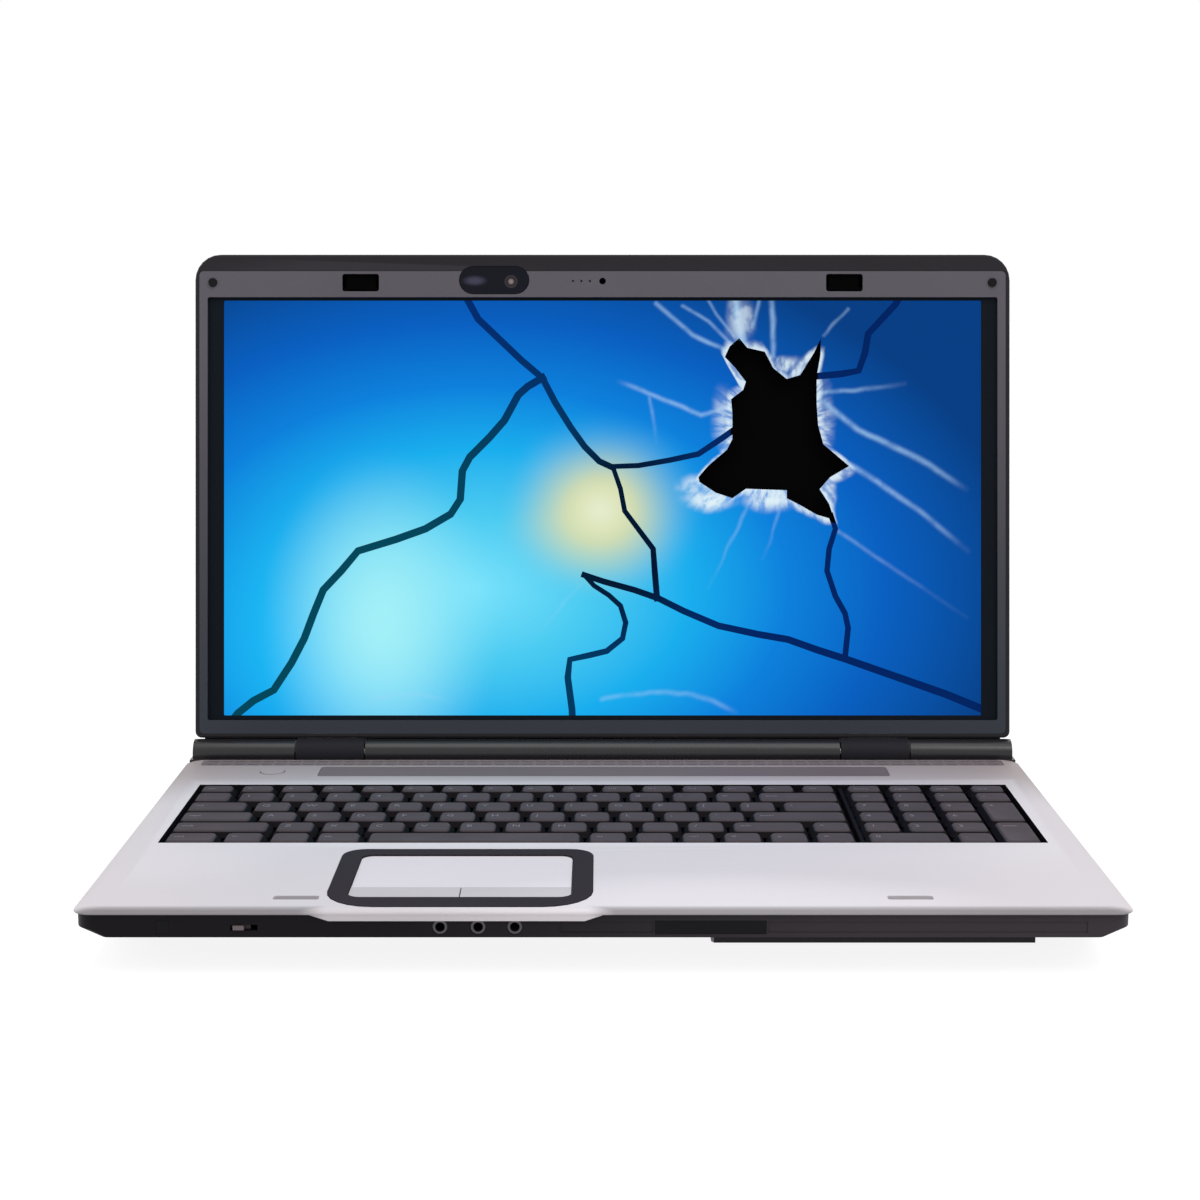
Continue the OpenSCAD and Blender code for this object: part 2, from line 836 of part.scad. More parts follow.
function row_y(n) = keys_y1 - (n == 0 ? 0 : function_pitch + (n - 1) * row_pitch);
function row_depth(n) = n == 0 ? function_pitch : row_pitch;
function start_of(widths, i) = i == 0 ? 0 : abs(widths[i - 1]) + start_of(widths, i - 1);

// a hollow keycap with sloping sides, over the cell [x0, x1] by [y0, y1]
module keycap(x, y) {
    side = 0.45;
    slope = 1.7;
    shell = 0.9;
    function ring(inset, z) = [
        [x[0] + inset, y[0] + inset, z], [x[1] - inset, y[0] + inset, z],
        [x[1] - inset, y[1] - inset, z], [x[0] + inset, y[1] - inset, z]
    ];
    polyhedron(
        points = concat(
            ring(side, cap_z0), ring(side + slope, cap_z1),
            ring(side + shell, cap_z0), ring(side + slope + shell, cap_z1 - 1)
        ),
        faces = [
            [7, 6, 5, 4], [0, 4, 5, 1], [1, 5, 6, 2], [2, 6, 7, 3], [3, 7, 4, 0],
            [0, 1, 9, 8], [1, 2, 10, 9], [2, 3, 11, 10], [3, 0, 8, 11],
            [8, 9, 13, 12], [9, 10, 14, 13], [10, 11, 15, 14], [11, 8, 12, 15],
            [12, 13, 14, 15]
        ]
    );
}

// a negative width is a gap
module key_row(widths, n) {
    color(colour_key)
        in_base()
            for (i = [0:len(widths) - 1])
                if (widths[i] > 0) {
                    x0 = keys_x0 + start_of(widths, i) * key_pitch;
                    keycap([x0, x0 + widths[i] * key_pitch], [row_y(n) - row_depth(n), row_y(n)]);
                }
}

module function_keys() {
    key_row(row_function, 0);
}

module number_row_keys() {
    key_row(row_numbers, 1);
}

module upper_letter_keys() {
    key_row(row_upper, 2);
}

module home_row_keys() {
    key_row(row_home, 3);
}

module lower_letter_keys() {
    key_row(row_lower, 4);
}

module modifier_keys() {
    key_row(row_modifiers, 5);
}

module space_bar() {
    key_row(space_widths, 5);
}

// number pad cells: [column, columns wide, first row, rows deep]
pad_cells = concat(
    [for (c = [0:3]) [c, 1, 0, 1]],
    [for (c = [0:3]) [c, 1, 1, 1]],
    [for (r = [2:4], c = [0:2]) [c, 1, r, 1]],
    [[3, 1, 2, 2], [3, 1, 4, 2], [0, 2, 5, 1], [2, 1, 5, 1]]
);

function pad_cell_x(c) = [pad_x0 + c[0] * pad_pitch, pad_x0 + (c[0] + c[1]) * pad_pitch];
function pad_cell_y(c) = [row_y(c[2] + c[3] - 1) - row_depth(c[2] + c[3] - 1), row_y(c[2])];

module number_pad_keys() {
    color(colour_key)
        in_base()
            for (c = pad_cells)
                keycap(pad_cell_x(c), pad_cell_y(c));
}

module keyboard_plate() {
    color([0.3, 0.3, 0.32])
        in_base() {
            block([-well_half + 0.2, well_half - 0.2], [well_y0 + 0.2, well_y1 - 0.3],
                  [plate_z, plate_z + 1.5]);
            // the rib between the letters and the number pad
            block([pad_x0 - 1.7, pad_x0 - 0.2], [well_y0 + 1, well_y1 - 1],
                  [plate_z + 1, deck_h - 1.4]);
        }
}

module dome(x, y) {
    translate([(x[0] + x[1]) / 2, (y[0] + y[1]) / 2, plate_z + 1.8])
        cylinder(h = 1.9, r1 = 2.8, r2 = 1.8);
}

module row_domes(widths, n) {
    for (i = [0:len(widths) - 1]) {
        x0 = keys_x0 + start_of(widths, i) * key_pitch;
        dome([x0, x0 + abs(widths[i]) * key_pitch], [row_y(n) - row_depth(n), row_y(n)]);
    }
}

module dome_sheet() {
    color([0.8, 0.8, 0.78])
        in_base() {
            block([-175, pad_x0 - 2.5], [90, 180.5], [plate_z + 1.5, plate_z + 1.9]);
            block([pad_x0 + 0.5, 175], [90, 180.5], [plate_z + 1.5, plate_z + 1.9]);
            rows = [row_function, row_numbers, row_upper, row_home, row_lower, row_modifiers];
            for (n = [0:5])
                row_domes(rows[n], n);
            for (c = pad_cells)
                dome(pad_cell_x(c), pad_cell_y(c));
        }
}

// ---------------------------------------------------------------- touchpad

module touchpad_surround() {
    color([0.2, 0.19, 0.21])
        in_base()
            difference() {
                union() {
                    plate(pad_ring(), skin_z - 0.4, deck_h + 0.25, 9, 19);
                    // flange under the top cover
                    plate(grown(pad_ring(), 1.2), skin_z - 0.9, skin_z - 0.1, 10, 20);
                }
                plate(pad_in, skin_z - 1, deck_h + 1, 5);
            }
}

// the part of the surround's opening between two lines across it
module pad_piece(x, y, z) {
    intersection() {
        plate(grown(pad_in, -0.2), z[0], z[1], 4.8);
        block(x, y, z);
    }
}

module touchpad() {
    color(colour_silver)
        in_base() {
            pad_piece([-200, 200], [button_y + 0.2, 100], [deck_h - 2.9, deck_h - 0.35]);
            block([pad_in[0] - 2, pad_in[1] + 2], [button_y + 0.2, pad_in[3] + 2],
                  [deck_h - 4, deck_h - 2.8]);
        }
}

module pad_button(x) {
    color(colour_silver)
        in_base()
            pad_piece(x, [0, button_y - 0.2], [deck_h - 2.9, deck_h - 0.1]);
}

module left_touchpad_button() {
    pad_button([-200, pad_x - 0.2]);
}

module right_touchpad_button() {
    pad_button([pad_x + 0.2, 200]);
}

// ---------------------------------------------------------------- inside the base

module motherboard() {
    outline = [
        [-190, 92], [60, 92], [60, 206], [-118, 206], [-118, 216], [-123, 216],
        [-123, 166], [-190, 166]
    ];
    color(colour_board)
        in_base() {
            translate([0, 0, board_z[0]])
                linear_extrude(board_z[1] - board_z[0])
                    polygon(outline);
            // chips, inductors and connectors
            for (x = [-100, -20, 10], y = [105, 125])
                block([x, x + 14], [y, y + 14], [board_z[1] - 0.1, board_z[1] + 2]);
            block([-70, -40], [110, 140], [board_z[1] - 0.1, board_z[1] + 2.4]);
            for (x = [-110:12:-60])
                block([x, x + 8], [192, 200], [board_z[1] - 0.1, board_z[1] + 4]);
        }
}

module processor() {
    color([0.2, 0.42, 0.25])
        in_base() {
            block([-92, -57], [150, 185], [board_z[1], board_z[1] + 1.8]);
            block([-82, -67], [160, 175], [board_z[1] + 1.7, board_z[1] + 2.6]);
        }
}

// a plate on the processor, a flat heat pipe and fins at the side vent
module heat_sink() {
    pipe_z = [board_z[1] + 4.2, board_z[1] + 7];
    color([0.72, 0.45, 0.3])
        in_base() {
            block([-94, -55], [148, 187], [board_z[1] + 2.6, board_z[1] + 4.3]);
            block([-189, -60], [156, 164], pipe_z);
            block([-189, -183], [156, 215], pipe_z);
            for (i = [0:13])
                block([-191, -185], span(172.4 + i * 3, 0.4), [8.5, 19]);
            block([-191, -185], [172, 211.8], [18.2, 19]);
        }
}

// blower housing, open below and towards the fins, with a pin for the impeller
module fan_housing() {
    box = [fan_at[0] - 26, fan_at[0] + 26, fan_at[1] - 25, fan_at[1] + 25];
    color(colour_black)
        in_base() {
            difference() {
                plate(box, fan_z[0], fan_z[1], 6);
                translate([fan_at[0], fan_at[1], fan_z[0] + 1])
                    cylinder(h = fan_z[1] - fan_z[0] - 2, r = 23.5);
                translate([fan_at[0], fan_at[1], 0])
                    cylinder(h = fan_z[0] + 2, r = 15);
                block([box[0] - 1, fan_at[0]], span(fan_at[1] - 1, 17),
                      [fan_z[0] + 1, fan_z[1] - 1]);
            }
            translate([fan_at[0], fan_at[1], fan_z[0] + 4])
                cylinder(h = fan_z[1] - fan_z[0] - 4.5, r = 1.5);
        }
}

module fan_impeller() {
    blades = 11;
    color([0.17, 0.17, 0.18])
        in_base()
            translate([fan_at[0], fan_at[1], fan_z[0] + 2])
                difference() {
                    union() {
                        cylinder(h = 8.4, r = 9);
                        for (i = [0:blades - 1])
                            rotate(i * 360 / blades)
                                translate([8, -0.5, 0])
                                    cube([14, 1, 8.4]);
                    }
                    translate([0, 0, 1.6])
                        cylinder(h = 8, r = 1.55);
                }
}

module memory_modules() {
    color(colour_board)
        in_base()
            for (y = [101, 132]) {
                block(memory_x, [y, y + 29.5], [5.4, 6.4]);
                for (i = [0:3])
                    block([memory_x[0] + 4 + i * 15.5, memory_x[0] + 15 + i * 15.5],
                          [y + 6, y + 24], [4.5, 5.5]);
            }
}

module hard_drive() {
    color(colour_steel)
        in_base()
            plate(hard_drive_box, hard_drive_z[0], hard_drive_z[1], 3);
}

module optical_drive_shell() {
    color(colour_steel)
        in_base()
            difference() {
                block(drive_x, drive_y, drive_z);
                block(drive_x + [4, 1], drive_y + [0.8, -0.8], drive_z + [0.8, -0.8]);
            }
}

// tray with a disc recess, a well and pin for the hub, and the outer bezel
module optical_tray() {
    color(colour_black)
        in_base() {
            difference() {
                union() {
                    block(tray_x, span(disc_at[1], 61.7), tray_z);
                    block([drive_x[1] + 0.15, half_w - 1.2], span(disc_at[1], 64.8), drive_z);
                }
                translate([disc_at[0], disc_at[1], tray_z[1] - 1.4])
                    cylinder(h = 10, r = disc_r);
                translate([disc_at[0], disc_at[1], tray_z[0] + 1])
                    cylinder(h = 10, r = 16);
                // recess for the eject button
                block([half_w - 4.4, half_w], span(109, 5), [12.6, 15.4]);
            }
            translate([disc_at[0], disc_at[1], tray_z[0]])
                cylinder(h = 5, r = 1.5);
        }
}

// the sliding rails between the drive's shell and its tray
module tray_rails() {
    color(colour_steel)
        in_base()
            for (side = [-1, 1])
                block([73.5, 186], span(disc_at[1] + side * 63, 1), [9, 14.5]);
}

module eject_button() {
    color(colour_black)
        in_base()
            block([half_w - 2.9, half_w - 0.7], span(109, 4.8), [12.8, 15.2]);
}

module disc_hub() {
    color(colour_steel)
        in_base()
            translate([disc_at[0], disc_at[1], tray_z[0] + 2])
                difference() {
                    union() {
                        cylinder(h = 4.6, r = 15);
                        cylinder(h = 6.8, r = 7.4);
                    }
                    translate([0, 0, -1])
                        cylinder(h = 5, r = 1.55);
                }
}

module battery_pack() {
    color(colour_black)
        in_base()
            difference() {
                hull() {
                    block(battery_x, [battery_y, base_d - 0.5], [6, battery_z]);
                    block(battery_x, [battery_y, base_d - 3], [bottom_z, battery_z]);
                }
                // socket for the latch's tongue
                block([battery_x[1] - 4, battery_x[1] + 1], span(latch_y, 2.4),
                      [floor_z - 0.1, floor_z + 1.7]);
            }
}

// a sliding latch under the base, its tongue in the battery's end
module battery_latch() {
    color(colour_graphite)
        in_base() {
            block([68, 76], span(latch_y, 2.7), [0.9, floor_z + 0.2]);
            block([64.2, 80], span(latch_y, 4.4), [floor_z + 0.15, floor_z + 1.5]);
            block([battery_x[1] - 3.4, 65], span(latch_y, 2), [floor_z + 0.15, floor_z + 1.5]);
        }
}

module audio_jacks() {
    color([0.6, 0.6, 0.62])
        in_base()
            for (x = jack_x)
                difference() {
                    union() {
                        block(span(x, 4.2), [4.4, 17], [jack_z - 2.6, jack_z + 3.4]);
                        bore_y(x, [2, 5], jack_z, 2.7);
                    }
                    bore_y(x, [1, 15], jack_z, 1.8);
                }
}

module wireless_switch() {
    color([0.75, 0.75, 0.77])
        in_base() {
            block([-136, -132], [0.9, 4.2], [18.9, 20.5]);
            block([-138, -130], [4.1, 5.6], [17.6, 21.8]);
        }
}

// the infrared window and the small status-light window
module front_windows() {
    color([0.05, 0.03, 0.04])
        in_base()
            for (x = [infrared_x, status_x])
                block([x[0] + 0.1, x[1] - 0.1], [lip_y + 0.05, lip_y + 0.8], [17.3, 22.3]);
}

// two sockets a side, the monitor and network sockets, and the power inlet
module port_sockets() {
    color(colour_steel)
        in_base() {
            for (y = usb_y) {
                usb_socket(-1, y);
                usb_socket(1, y + usb_shift);
            }
            difference() {
                block([-case_x + 0.7, -181], span(101, 11), [board_z[1], board_z[1] + 7.4]);
                block([-case_x, -185], span(101, 10), [board_z[1] + 0.9, board_z[1] + 6.5]);
            }
            difference() {
                block([-case_x + 2.2, -177], span(network_y, 7), [board_z[1], board_z[1] + 8]);
                block([-case_x, -179], span(network_y, 6), [board_z[1] + 0.4, board_z[1] + 7.4]);
            }
            difference() {
                block([-case_x + 2.2, -179], span(socket_y, 4.4), [7.6, 16.4]);
                bar([-case_x, -181.5], socket_y, 12, 2.8);
            }
        }
}

module usb_socket(side, y) {
    reach = [-case_x + 0.7, -181];
    mirror([side > 0 ? 1 : 0, 0, 0]) {
        difference() {
            block(reach, span(y, 5.8), [11.2, 15.8]);
            block(reach - [1, 1], span(y, 5.3), [11.7, 15.3]);
        }
        block([-case_x + 2, -181.9], span(y, 4.6), [13.7, 14.9]);
    }
}

module rubber_feet() {
    color([0.07, 0.07, 0.07])
        in_base()
            for (p = foot_at)
                translate([p[0], p[1], 0])
                    cylinder(h = foot_h, r = 6);
}

module case_screws() {
    color(colour_steel)
        in_base()
            for (p = screw_at)
                translate([p[0], p[1], bottom_z - 0.8])
                    difference() {
                        union() {
                            cylinder(h = 0.8, r = 2.6);
                            cylinder(h = 4, r = 1.2);
                        }
                        for (a = [0, 90])
                            rotate(a)
                                translate([-1.6, -0.25, -0.1])
                                    cube([3.2, 0.5, 0.5]);
                    }
}

// ---------------------------------------------------------------- the nodes

lid_back_cover();
lid_bezel();
screen_glass();
screen_frame();
diffuser_sheet();
light_guide();
backlight_tube();
screen_driver_board();
backlight_inverter();
webcam_window();
webcam_module();
lid_bumpers();
latch_hooks();
hinge_arms();
hinge_caps();
base_bottom();
top_cover();
rear_deck();
hinge_cover();
media_strip();
power_button();
speaker_grille();
speakers();
keyboard_plate();
dome_sheet();
function_keys();
number_row_keys();
upper_letter_keys();
home_row_keys();
lower_letter_keys();
modifier_keys();
space_bar();
number_pad_keys();
touchpad_surround();
touchpad();
left_touchpad_button();
right_touchpad_button();
hinge_brackets();
motherboard();
processor();
heat_sink();
fan_housing();
fan_impeller();
memory_modules();
hard_drive();
hard_drive_cover();
memory_cover();
optical_drive_shell();
optical_tray();
tray_rails();
eject_button();
disc_hub();
battery_pack();
battery_latch();
audio_jacks();
wireless_switch();
front_windows();
port_sockets();
rubber_feet();
case_screws();
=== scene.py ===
# %% [markdown]
# # A broken laptop
#
# A big open laptop whose lit screen has split into shards round a punched hole. The hard
# shapes come from a packed construction model. Blender's share is what a drawing in solids
# leaves out: softened edges, dished keys with their letters, the lit picture with its
# hairline fractures, and a finish for every plastic, metal and board.

# %% Load the construction model
import json
import math
import bmesh
import bpy
from mathutils import Matrix, Vector


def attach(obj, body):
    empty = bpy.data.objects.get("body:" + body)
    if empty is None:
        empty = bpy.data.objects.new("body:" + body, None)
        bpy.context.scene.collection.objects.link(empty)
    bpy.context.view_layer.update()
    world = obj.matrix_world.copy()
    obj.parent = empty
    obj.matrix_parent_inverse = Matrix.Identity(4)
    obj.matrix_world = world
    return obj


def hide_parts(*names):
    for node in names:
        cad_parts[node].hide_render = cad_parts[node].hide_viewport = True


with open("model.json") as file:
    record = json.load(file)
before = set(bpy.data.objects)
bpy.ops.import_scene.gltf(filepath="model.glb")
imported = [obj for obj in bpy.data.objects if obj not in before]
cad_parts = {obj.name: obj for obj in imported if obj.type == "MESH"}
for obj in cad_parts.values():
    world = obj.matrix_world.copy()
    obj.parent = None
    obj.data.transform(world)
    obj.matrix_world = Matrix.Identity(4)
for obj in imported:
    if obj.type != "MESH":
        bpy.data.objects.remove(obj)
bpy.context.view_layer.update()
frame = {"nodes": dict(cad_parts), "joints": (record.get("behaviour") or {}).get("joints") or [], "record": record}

# %% [markdown]
# ## Where things are
#
# Every part knows its body and its finish from the record. Two facts are worked out once:
# the hinge line that the lid turns on, and how far the lid leans back from upright. The
# hinge joint gives both, so nothing here is measured twice.

# %% Bodies, finishes and the lid's lean
record = frame["record"]
body_of = {part: body for body, parts in record["behaviour"]["bodies"].items() for part in parts}
slot_of = {row["node"]: row["material_slot"] for row in record["subparts"]}

hinge = next(joint for joint in frame["joints"] if joint["name"] == "lid_hinge")
hinge_at = Vector(hinge["pos_m"])
lean = math.radians(hinge["range_deg"][1] - 90)
out_of_screen = Vector((0, -math.cos(lean), math.sin(lean)))
mm = 0.001
print("the lid leans back", round(math.degrees(lean), 1), "degrees")

# %% [markdown]
# ## Camera
#
# The view is level with the screen's middle and tipped down by as much as the lid leans
# back, so the screen keeps its true rectangle. A long lens from less than a metre keeps the
# base's sides converging gently.

# %% Camera
camera = bpy.data.objects.new("camera", bpy.data.cameras.new("camera"))
bpy.context.scene.collection.objects.link(camera)
camera.data.lens = 64.4
camera.location = (-0.0012, -0.8975, 0.2698)
camera.rotation_euler = (math.pi / 2 - lean, 0, 0)
bpy.context.scene.camera = camera
print("camera", tuple(camera.location), "lens", camera.data.lens)

# %% [markdown]
# ## Nodes written as sums
#
# A shader is a small sum over the surface, so it reads best as one. Nodes could be placed
# and linked by hand, but a page of links hides the sum. Here `Wire` wraps a socket, and
# plus, minus, times and divide on it add the Math nodes.

# %% Wire


class Wire:
    """A shader socket that does arithmetic like a number."""

    def __init__(self, sums, socket):
        self.sums = sums
        self.socket = socket

    def maths(self, operation, *values, clamp=False):
        """One Math node on these values, which may be wires or plain numbers."""
        settings = {"operation": operation, "use_clamp": clamp}
        return self.sums.node("Math", settings, dict(enumerate(values)))

    def __add__(self, other):
        return self.maths("ADD", self, other)

    __radd__ = __add__

    def __mul__(self, other):
        return self.maths("MULTIPLY", self, other)

    __rmul__ = __mul__

    def __sub__(self, other):
        return self.maths("SUBTRACT", self, other)

    def __rsub__(self, other):
        return self.maths("SUBTRACT", other, self)

    def __truediv__(self, other):
        return self.maths("DIVIDE", self, other)

    def __pow__(self, other):
        return self.maths("POWER", self, other)

    def clamped(self):
        """The same value, kept between 0 and 1."""
        return self.maths("ADD", self, 0.0, clamp=True)

    def ramp(self, low, high, start=0.0, end=1.0):
        """Eases from start to end as this goes from low to high."""
        settings = {"interpolation_type": "SMOOTHSTEP"}
        sockets = {"Value": self, 1: low, 2: high, 3: start, 4: end}
        return self.sums.node("MapRange", settings, sockets)


print("Wire is ready")

# %% [markdown]
# `Sums` holds a node tree, of a material or of the world, and makes every other node
# through a single method: its type, its settings, then its sockets. `Finish` is one
# material's tree, with the place on the piece at hand and the patterns that come back in
# many finishes: noise, mixes, bumps and rubbed edges.

# %% Sums and Finish


class Sums:
    """The node tree of a material or of the world."""

    def __init__(self, tree):
        self.tree = tree

    def link(self, socket, value):
        """Links a wire to a socket, or sets a plain value on it."""
        if isinstance(value, Wire):
            self.tree.links.new(value.socket, socket)
        elif hasattr(socket, "default_value"):
            socket.default_value = value

    def node(self, kind, settings=None, sockets=None, out=0):
        """Adds a node of a kind, with its settings first and then its sockets."""
        made = self.tree.nodes.new("ShaderNode" + kind)
        for name, value in (settings or {}).items():
            if name == "stops":
                self.set_stops(made.color_ramp, value)
            else:
                setattr(made, name, value)
        for name, value in (sockets or {}).items():
            self.link(made.inputs[name], value)
        return Wire(self, made.outputs[out])

    def set_stops(self, ramp, stops):
        """Gives a colour ramp its places and colours."""
        while len(ramp.elements) < len(stops):
            ramp.elements.new(1.0)
        for element, (place, colour) in zip(ramp.elements, stops):
            element.position = place
            element.color = colour


class Finish(Sums):
    """One material, with the place on the piece ready to use."""

    def __init__(self, name, **shader):
        self.material = bpy.data.materials.new(name)
        self.material.use_nodes = True
        super().__init__(self.material.node_tree)
        self.shader = self.tree.nodes["Principled BSDF"]
        self.place = self.node("TexCoord", out="Object")
        self.put(**shader)

    def put(self, **shader):
        """Sets the shader's sockets: Base_Color=..., Roughness=... and so on."""
        for name, value in shader.items():
            self.link(self.shader.inputs[name.replace("_", " ")], value)

    def along(self, axis):
        """The place on the piece along X, Y or Z, in metres."""
        return self.node("SeparateXYZ", None, {0: self.place}, out=axis)

    def noise(self, scale, detail=3.0, place=None):
        """A cloudy noise about 0.5, with `scale` clouds to the metre."""
        sockets = {"Vector": place or self.place, "Scale": scale, "Detail": detail,
                   "Roughness": 0.55}
        return self.node("TexNoise", None, sockets)

    def stretched(self, x, y, z):
        """The place on the piece with each direction scaled."""
        return self.node("Mapping", None, {"Vector": self.place, "Scale": (x, y, z)})

    def mix(self, factor, first, second):
        """The first colour where factor is 0, the second where it is 1."""
        settings = {"data_type": "RGBA"}
        return self.node("Mix", settings, {0: factor, 6: first, 7: second}, out=2)

    def shade(self, colour, dark, light, amount):
        """A colour times a grey that runs from dark to light with amount."""
        grey = self.mix(amount, (dark, dark, dark, 1), (light, light, light, 1))
        settings = {"data_type": "RGBA", "blend_type": "MULTIPLY"}
        return self.node("Mix", settings, {0: 1.0, 6: colour, 7: grey}, out=2)

    def bumped(self, height, distance):
        """A normal for bumps of a height from 0 to 1 that stand out by a distance."""
        sockets = {"Height": height, "Distance": distance, "Strength": 1.0}
        return self.node("Bump", None, sockets)

    def edge_wear(self, low=0.53, high=0.62):
        """1 where an edge is sharp and outward, 0 elsewhere."""
        pointed = self.node("NewGeometry", out="Pointiness")
        return pointed.ramp(low, high)


print("Sums and Finish are ready")

# %% Colours and kinds of light ray
def background_rays(sums):
    """1 for what the camera sees, straight, mirrored or through glass; 0 for other light."""
    kinds = [sums.node("LightPath", out="Is %s Ray" % kind)
             for kind in ("Camera", "Glossy", "Transmission")]
    return (kinds[0] + kinds[1] + kinds[2]).clamped()


def paint(red, green, blue):
    """A colour given as on a screen, 0 to 255, for a shader socket."""
    def straight(c):
        c = c / 255
        return c / 12.92 if c <= 0.04045 else ((c + 0.055) / 1.055) ** 2.4
    return (straight(red), straight(green), straight(blue), 1.0)


print("silver is written", [round(c, 3) for c in paint(211, 206, 212)])

# %% [markdown]
# ## Floor, backdrop and studio light
#
# The laptop stands on plain white. Only the camera and mirror-like surfaces see the white;
# the light that falls on the object stays soft and even, so each colour shows about as it
# is written. The floor keeps a share of plain diffuse shading, which carries the shadow.

# %% Floor
floor_mesh = bmesh.new()
bmesh.ops.create_grid(floor_mesh, x_segments=1, y_segments=1, size=6.0)
floor_data = bpy.data.meshes.new("floor")
floor_mesh.to_mesh(floor_data)
floor_mesh.free()
floor = bpy.data.objects.new("floor", floor_data)
bpy.context.scene.collection.objects.link(floor)

floor_finish = Finish("pale_floor")
seen = background_rays(floor_finish)
plain = floor_finish.node("BsdfDiffuse", None, {"Color": (0.6, 0.6, 0.6, 1)})
shadowed = floor_finish.node("BsdfDiffuse", None, {"Color": (0.3, 0.3, 0.3, 1)})
glowing = floor_finish.node("Emission", None, {"Color": (1, 1, 1, 1), "Strength": 0.88})
white = floor_finish.node("AddShader", None, {0: shadowed, 1: glowing})
floor_look = floor_finish.node("MixShader", None, {0: seen, 1: plain, 2: white})
floor_finish.link(floor_finish.tree.nodes["Material Output"].inputs["Surface"], floor_look)
floor_data.materials.append(floor_finish.material)
print("floor", floor_finish.material.name)

# %% World and lamps
world = bpy.data.worlds.new("studio")
bpy.context.scene.world = world
world.use_nodes = True
sky = Sums(world.node_tree)
soft = sky.node("Background", None, {"Color": (1, 1, 1, 1), "Strength": 0.56})
bright = sky.node("Background", None, {"Color": (1, 1, 1, 1), "Strength": 1.0})
backdrop = sky.node("MixShader", None, {0: background_rays(sky), 1: soft, 2: bright})
sky.link(sky.tree.nodes["World Output"].inputs["Surface"], backdrop)


def lamp(name, at, towards, size, power):
    """A square soft lamp, in metres and watts, aimed at a place."""
    data = bpy.data.lights.new(name, "AREA")
    data.size = size
    data.energy = power
    made = bpy.data.objects.new(name, data)
    bpy.context.scene.collection.objects.link(made)
    made.location = at
    made.rotation_euler = (Vector(towards) - Vector(at)).to_track_quat("-Z", "Y").to_euler()


lamp("key", (0.9, -1.0, 1.5), (0, 0, 0.05), 1.0, 10)
lamp("fill", (-1.2, -0.9, 1.1), (0, 0, 0.08), 1.2, 4)
lamp("rim", (0.2, 1.3, 1.3), (0, 0.1, 0.1), 1.2, 5)
lamp("top", (0, -0.35, 1.6), (0, -0.15, 0), 1.0, 6)
bpy.context.scene.view_settings.view_transform = "Standard"

# %% [markdown]
# ## Finishes
#
# Most of the laptop is moulded plastic. Such a surface is never one flat tone: it has a
# fine spark-eroded grain from its mould, slow changes of tone, dull patches where hands
# rest and a lighter line along rubbed edges. Each finish below is those four things in its
# own measure. The grain is a bump of a few hundredths of a millimetre.

# %% Moulded plastics


def moulded(name, colour, roughness, grain=900.0, depth=0.03 * mm, wear=0.25, level=0.35):
    """A satin moulded plastic with mould grain, slow mottling and rubbed edges.

    With no colour it is left to be coloured by its place on the machine.
    """
    made = Finish(name, Specular_IOR_Level=level)
    slow = made.noise(14.0, 4.0)
    fine = made.noise(grain, 2.0)
    made.put(Roughness=roughness + 0.16 * (slow - 0.5) + 0.08 * (fine - 0.5),
             Normal=made.bumped(fine, depth))
    if colour:
        tone = made.shade(colour, 0.86, 1.14, slow)
        lighter = tuple(min(1.0, c * 2.2 + 0.02) for c in colour[:3]) + (1,)
        made.put(Base_Color=made.mix(made.edge_wear() * wear, tone, lighter))
    return made


black_shell = moulded("black_shell", paint(42, 40, 44), 0.45, level=0.08)
lid_gloss = moulded("lid_gloss", paint(34, 33, 37), 0.22, depth=0.005 * mm, level=0.4)
case_black = moulded("case_black", None, 0.45, level=0.1)
graphite = moulded("graphite_plastic", None, 0.5, grain=1100.0, level=0.12)
knuckle_grey = moulded("knuckle_grey", paint(36, 35, 40), 0.5, level=0.06)
barrel_gloss = moulded("barrel_gloss", paint(28, 26, 29), 0.25, depth=0.01 * mm, level=0.4)
key_plastic = moulded("key_plastic", None, 0.7, grain=1400.0, level=0.06)
well_black = moulded("well_black", paint(20, 18, 21), 0.7, wear=0.0, level=0.05)
ring_plastic = moulded("surround_plastic", paint(50, 43, 47), 0.6, wear=0.15, level=0.03)
panel_black = moulded("panel_black", paint(16, 22, 29), 0.5, wear=0.0, level=0.05)
# painted shade: a near-black for the lid's inside and the latch hooks, which lie in shade
painted_shade_black = moulded("painted_shade_black", paint(5, 4, 5), 0.8, wear=0.0, level=0.02)
rubber = moulded("rubber", paint(26, 25, 26), 0.85, grain=700.0, depth=0.06 * mm, wear=0.1,
                 level=0.05)
print("plastics", [f.material.name for f in (black_shell, graphite, key_plastic, ring_plastic)])

# %% [markdown]
# ### Bezel and bottom case
#
# Two of the plastics change tone along the machine, and both tones are painted light. The
# bezel is paler towards its top, where it catches the room's light. The case's front has
# painted shade at its left end and is paler towards its right, and further back it has one
# even tone. A ramp along one direction says each of these plainly.

# %% Bezel and bottom case
# painted light: the bezel is paler towards its top, where it catches the room's light
height = graphite.along("Z").ramp(30 * mm, 250 * mm)
bezel_painted_light = graphite.mix(height, paint(56, 61, 68), paint(94, 90, 97))
graphite.put(Base_Color=graphite.shade(bezel_painted_light, 0.88, 1.12, graphite.noise(14.0, 4.0)))

# painted shade: the case's front is darker at its left end and paler towards its right
rightward = case_black.along("X").ramp(-100 * mm, 130 * mm)
case_front_painted_shade = case_black.mix(rightward, paint(18, 14, 18), paint(60, 55, 60))
behind = case_black.along("Y").ramp(-130 * mm, -80 * mm)
case_tone = case_black.mix(behind, case_front_painted_shade, paint(44, 41, 45))
case_black.put(Base_Color=case_black.shade(case_tone, 0.88, 1.12, case_black.noise(14.0, 4.0)))
print("tones run along", graphite.material.name, "and", case_black.material.name)
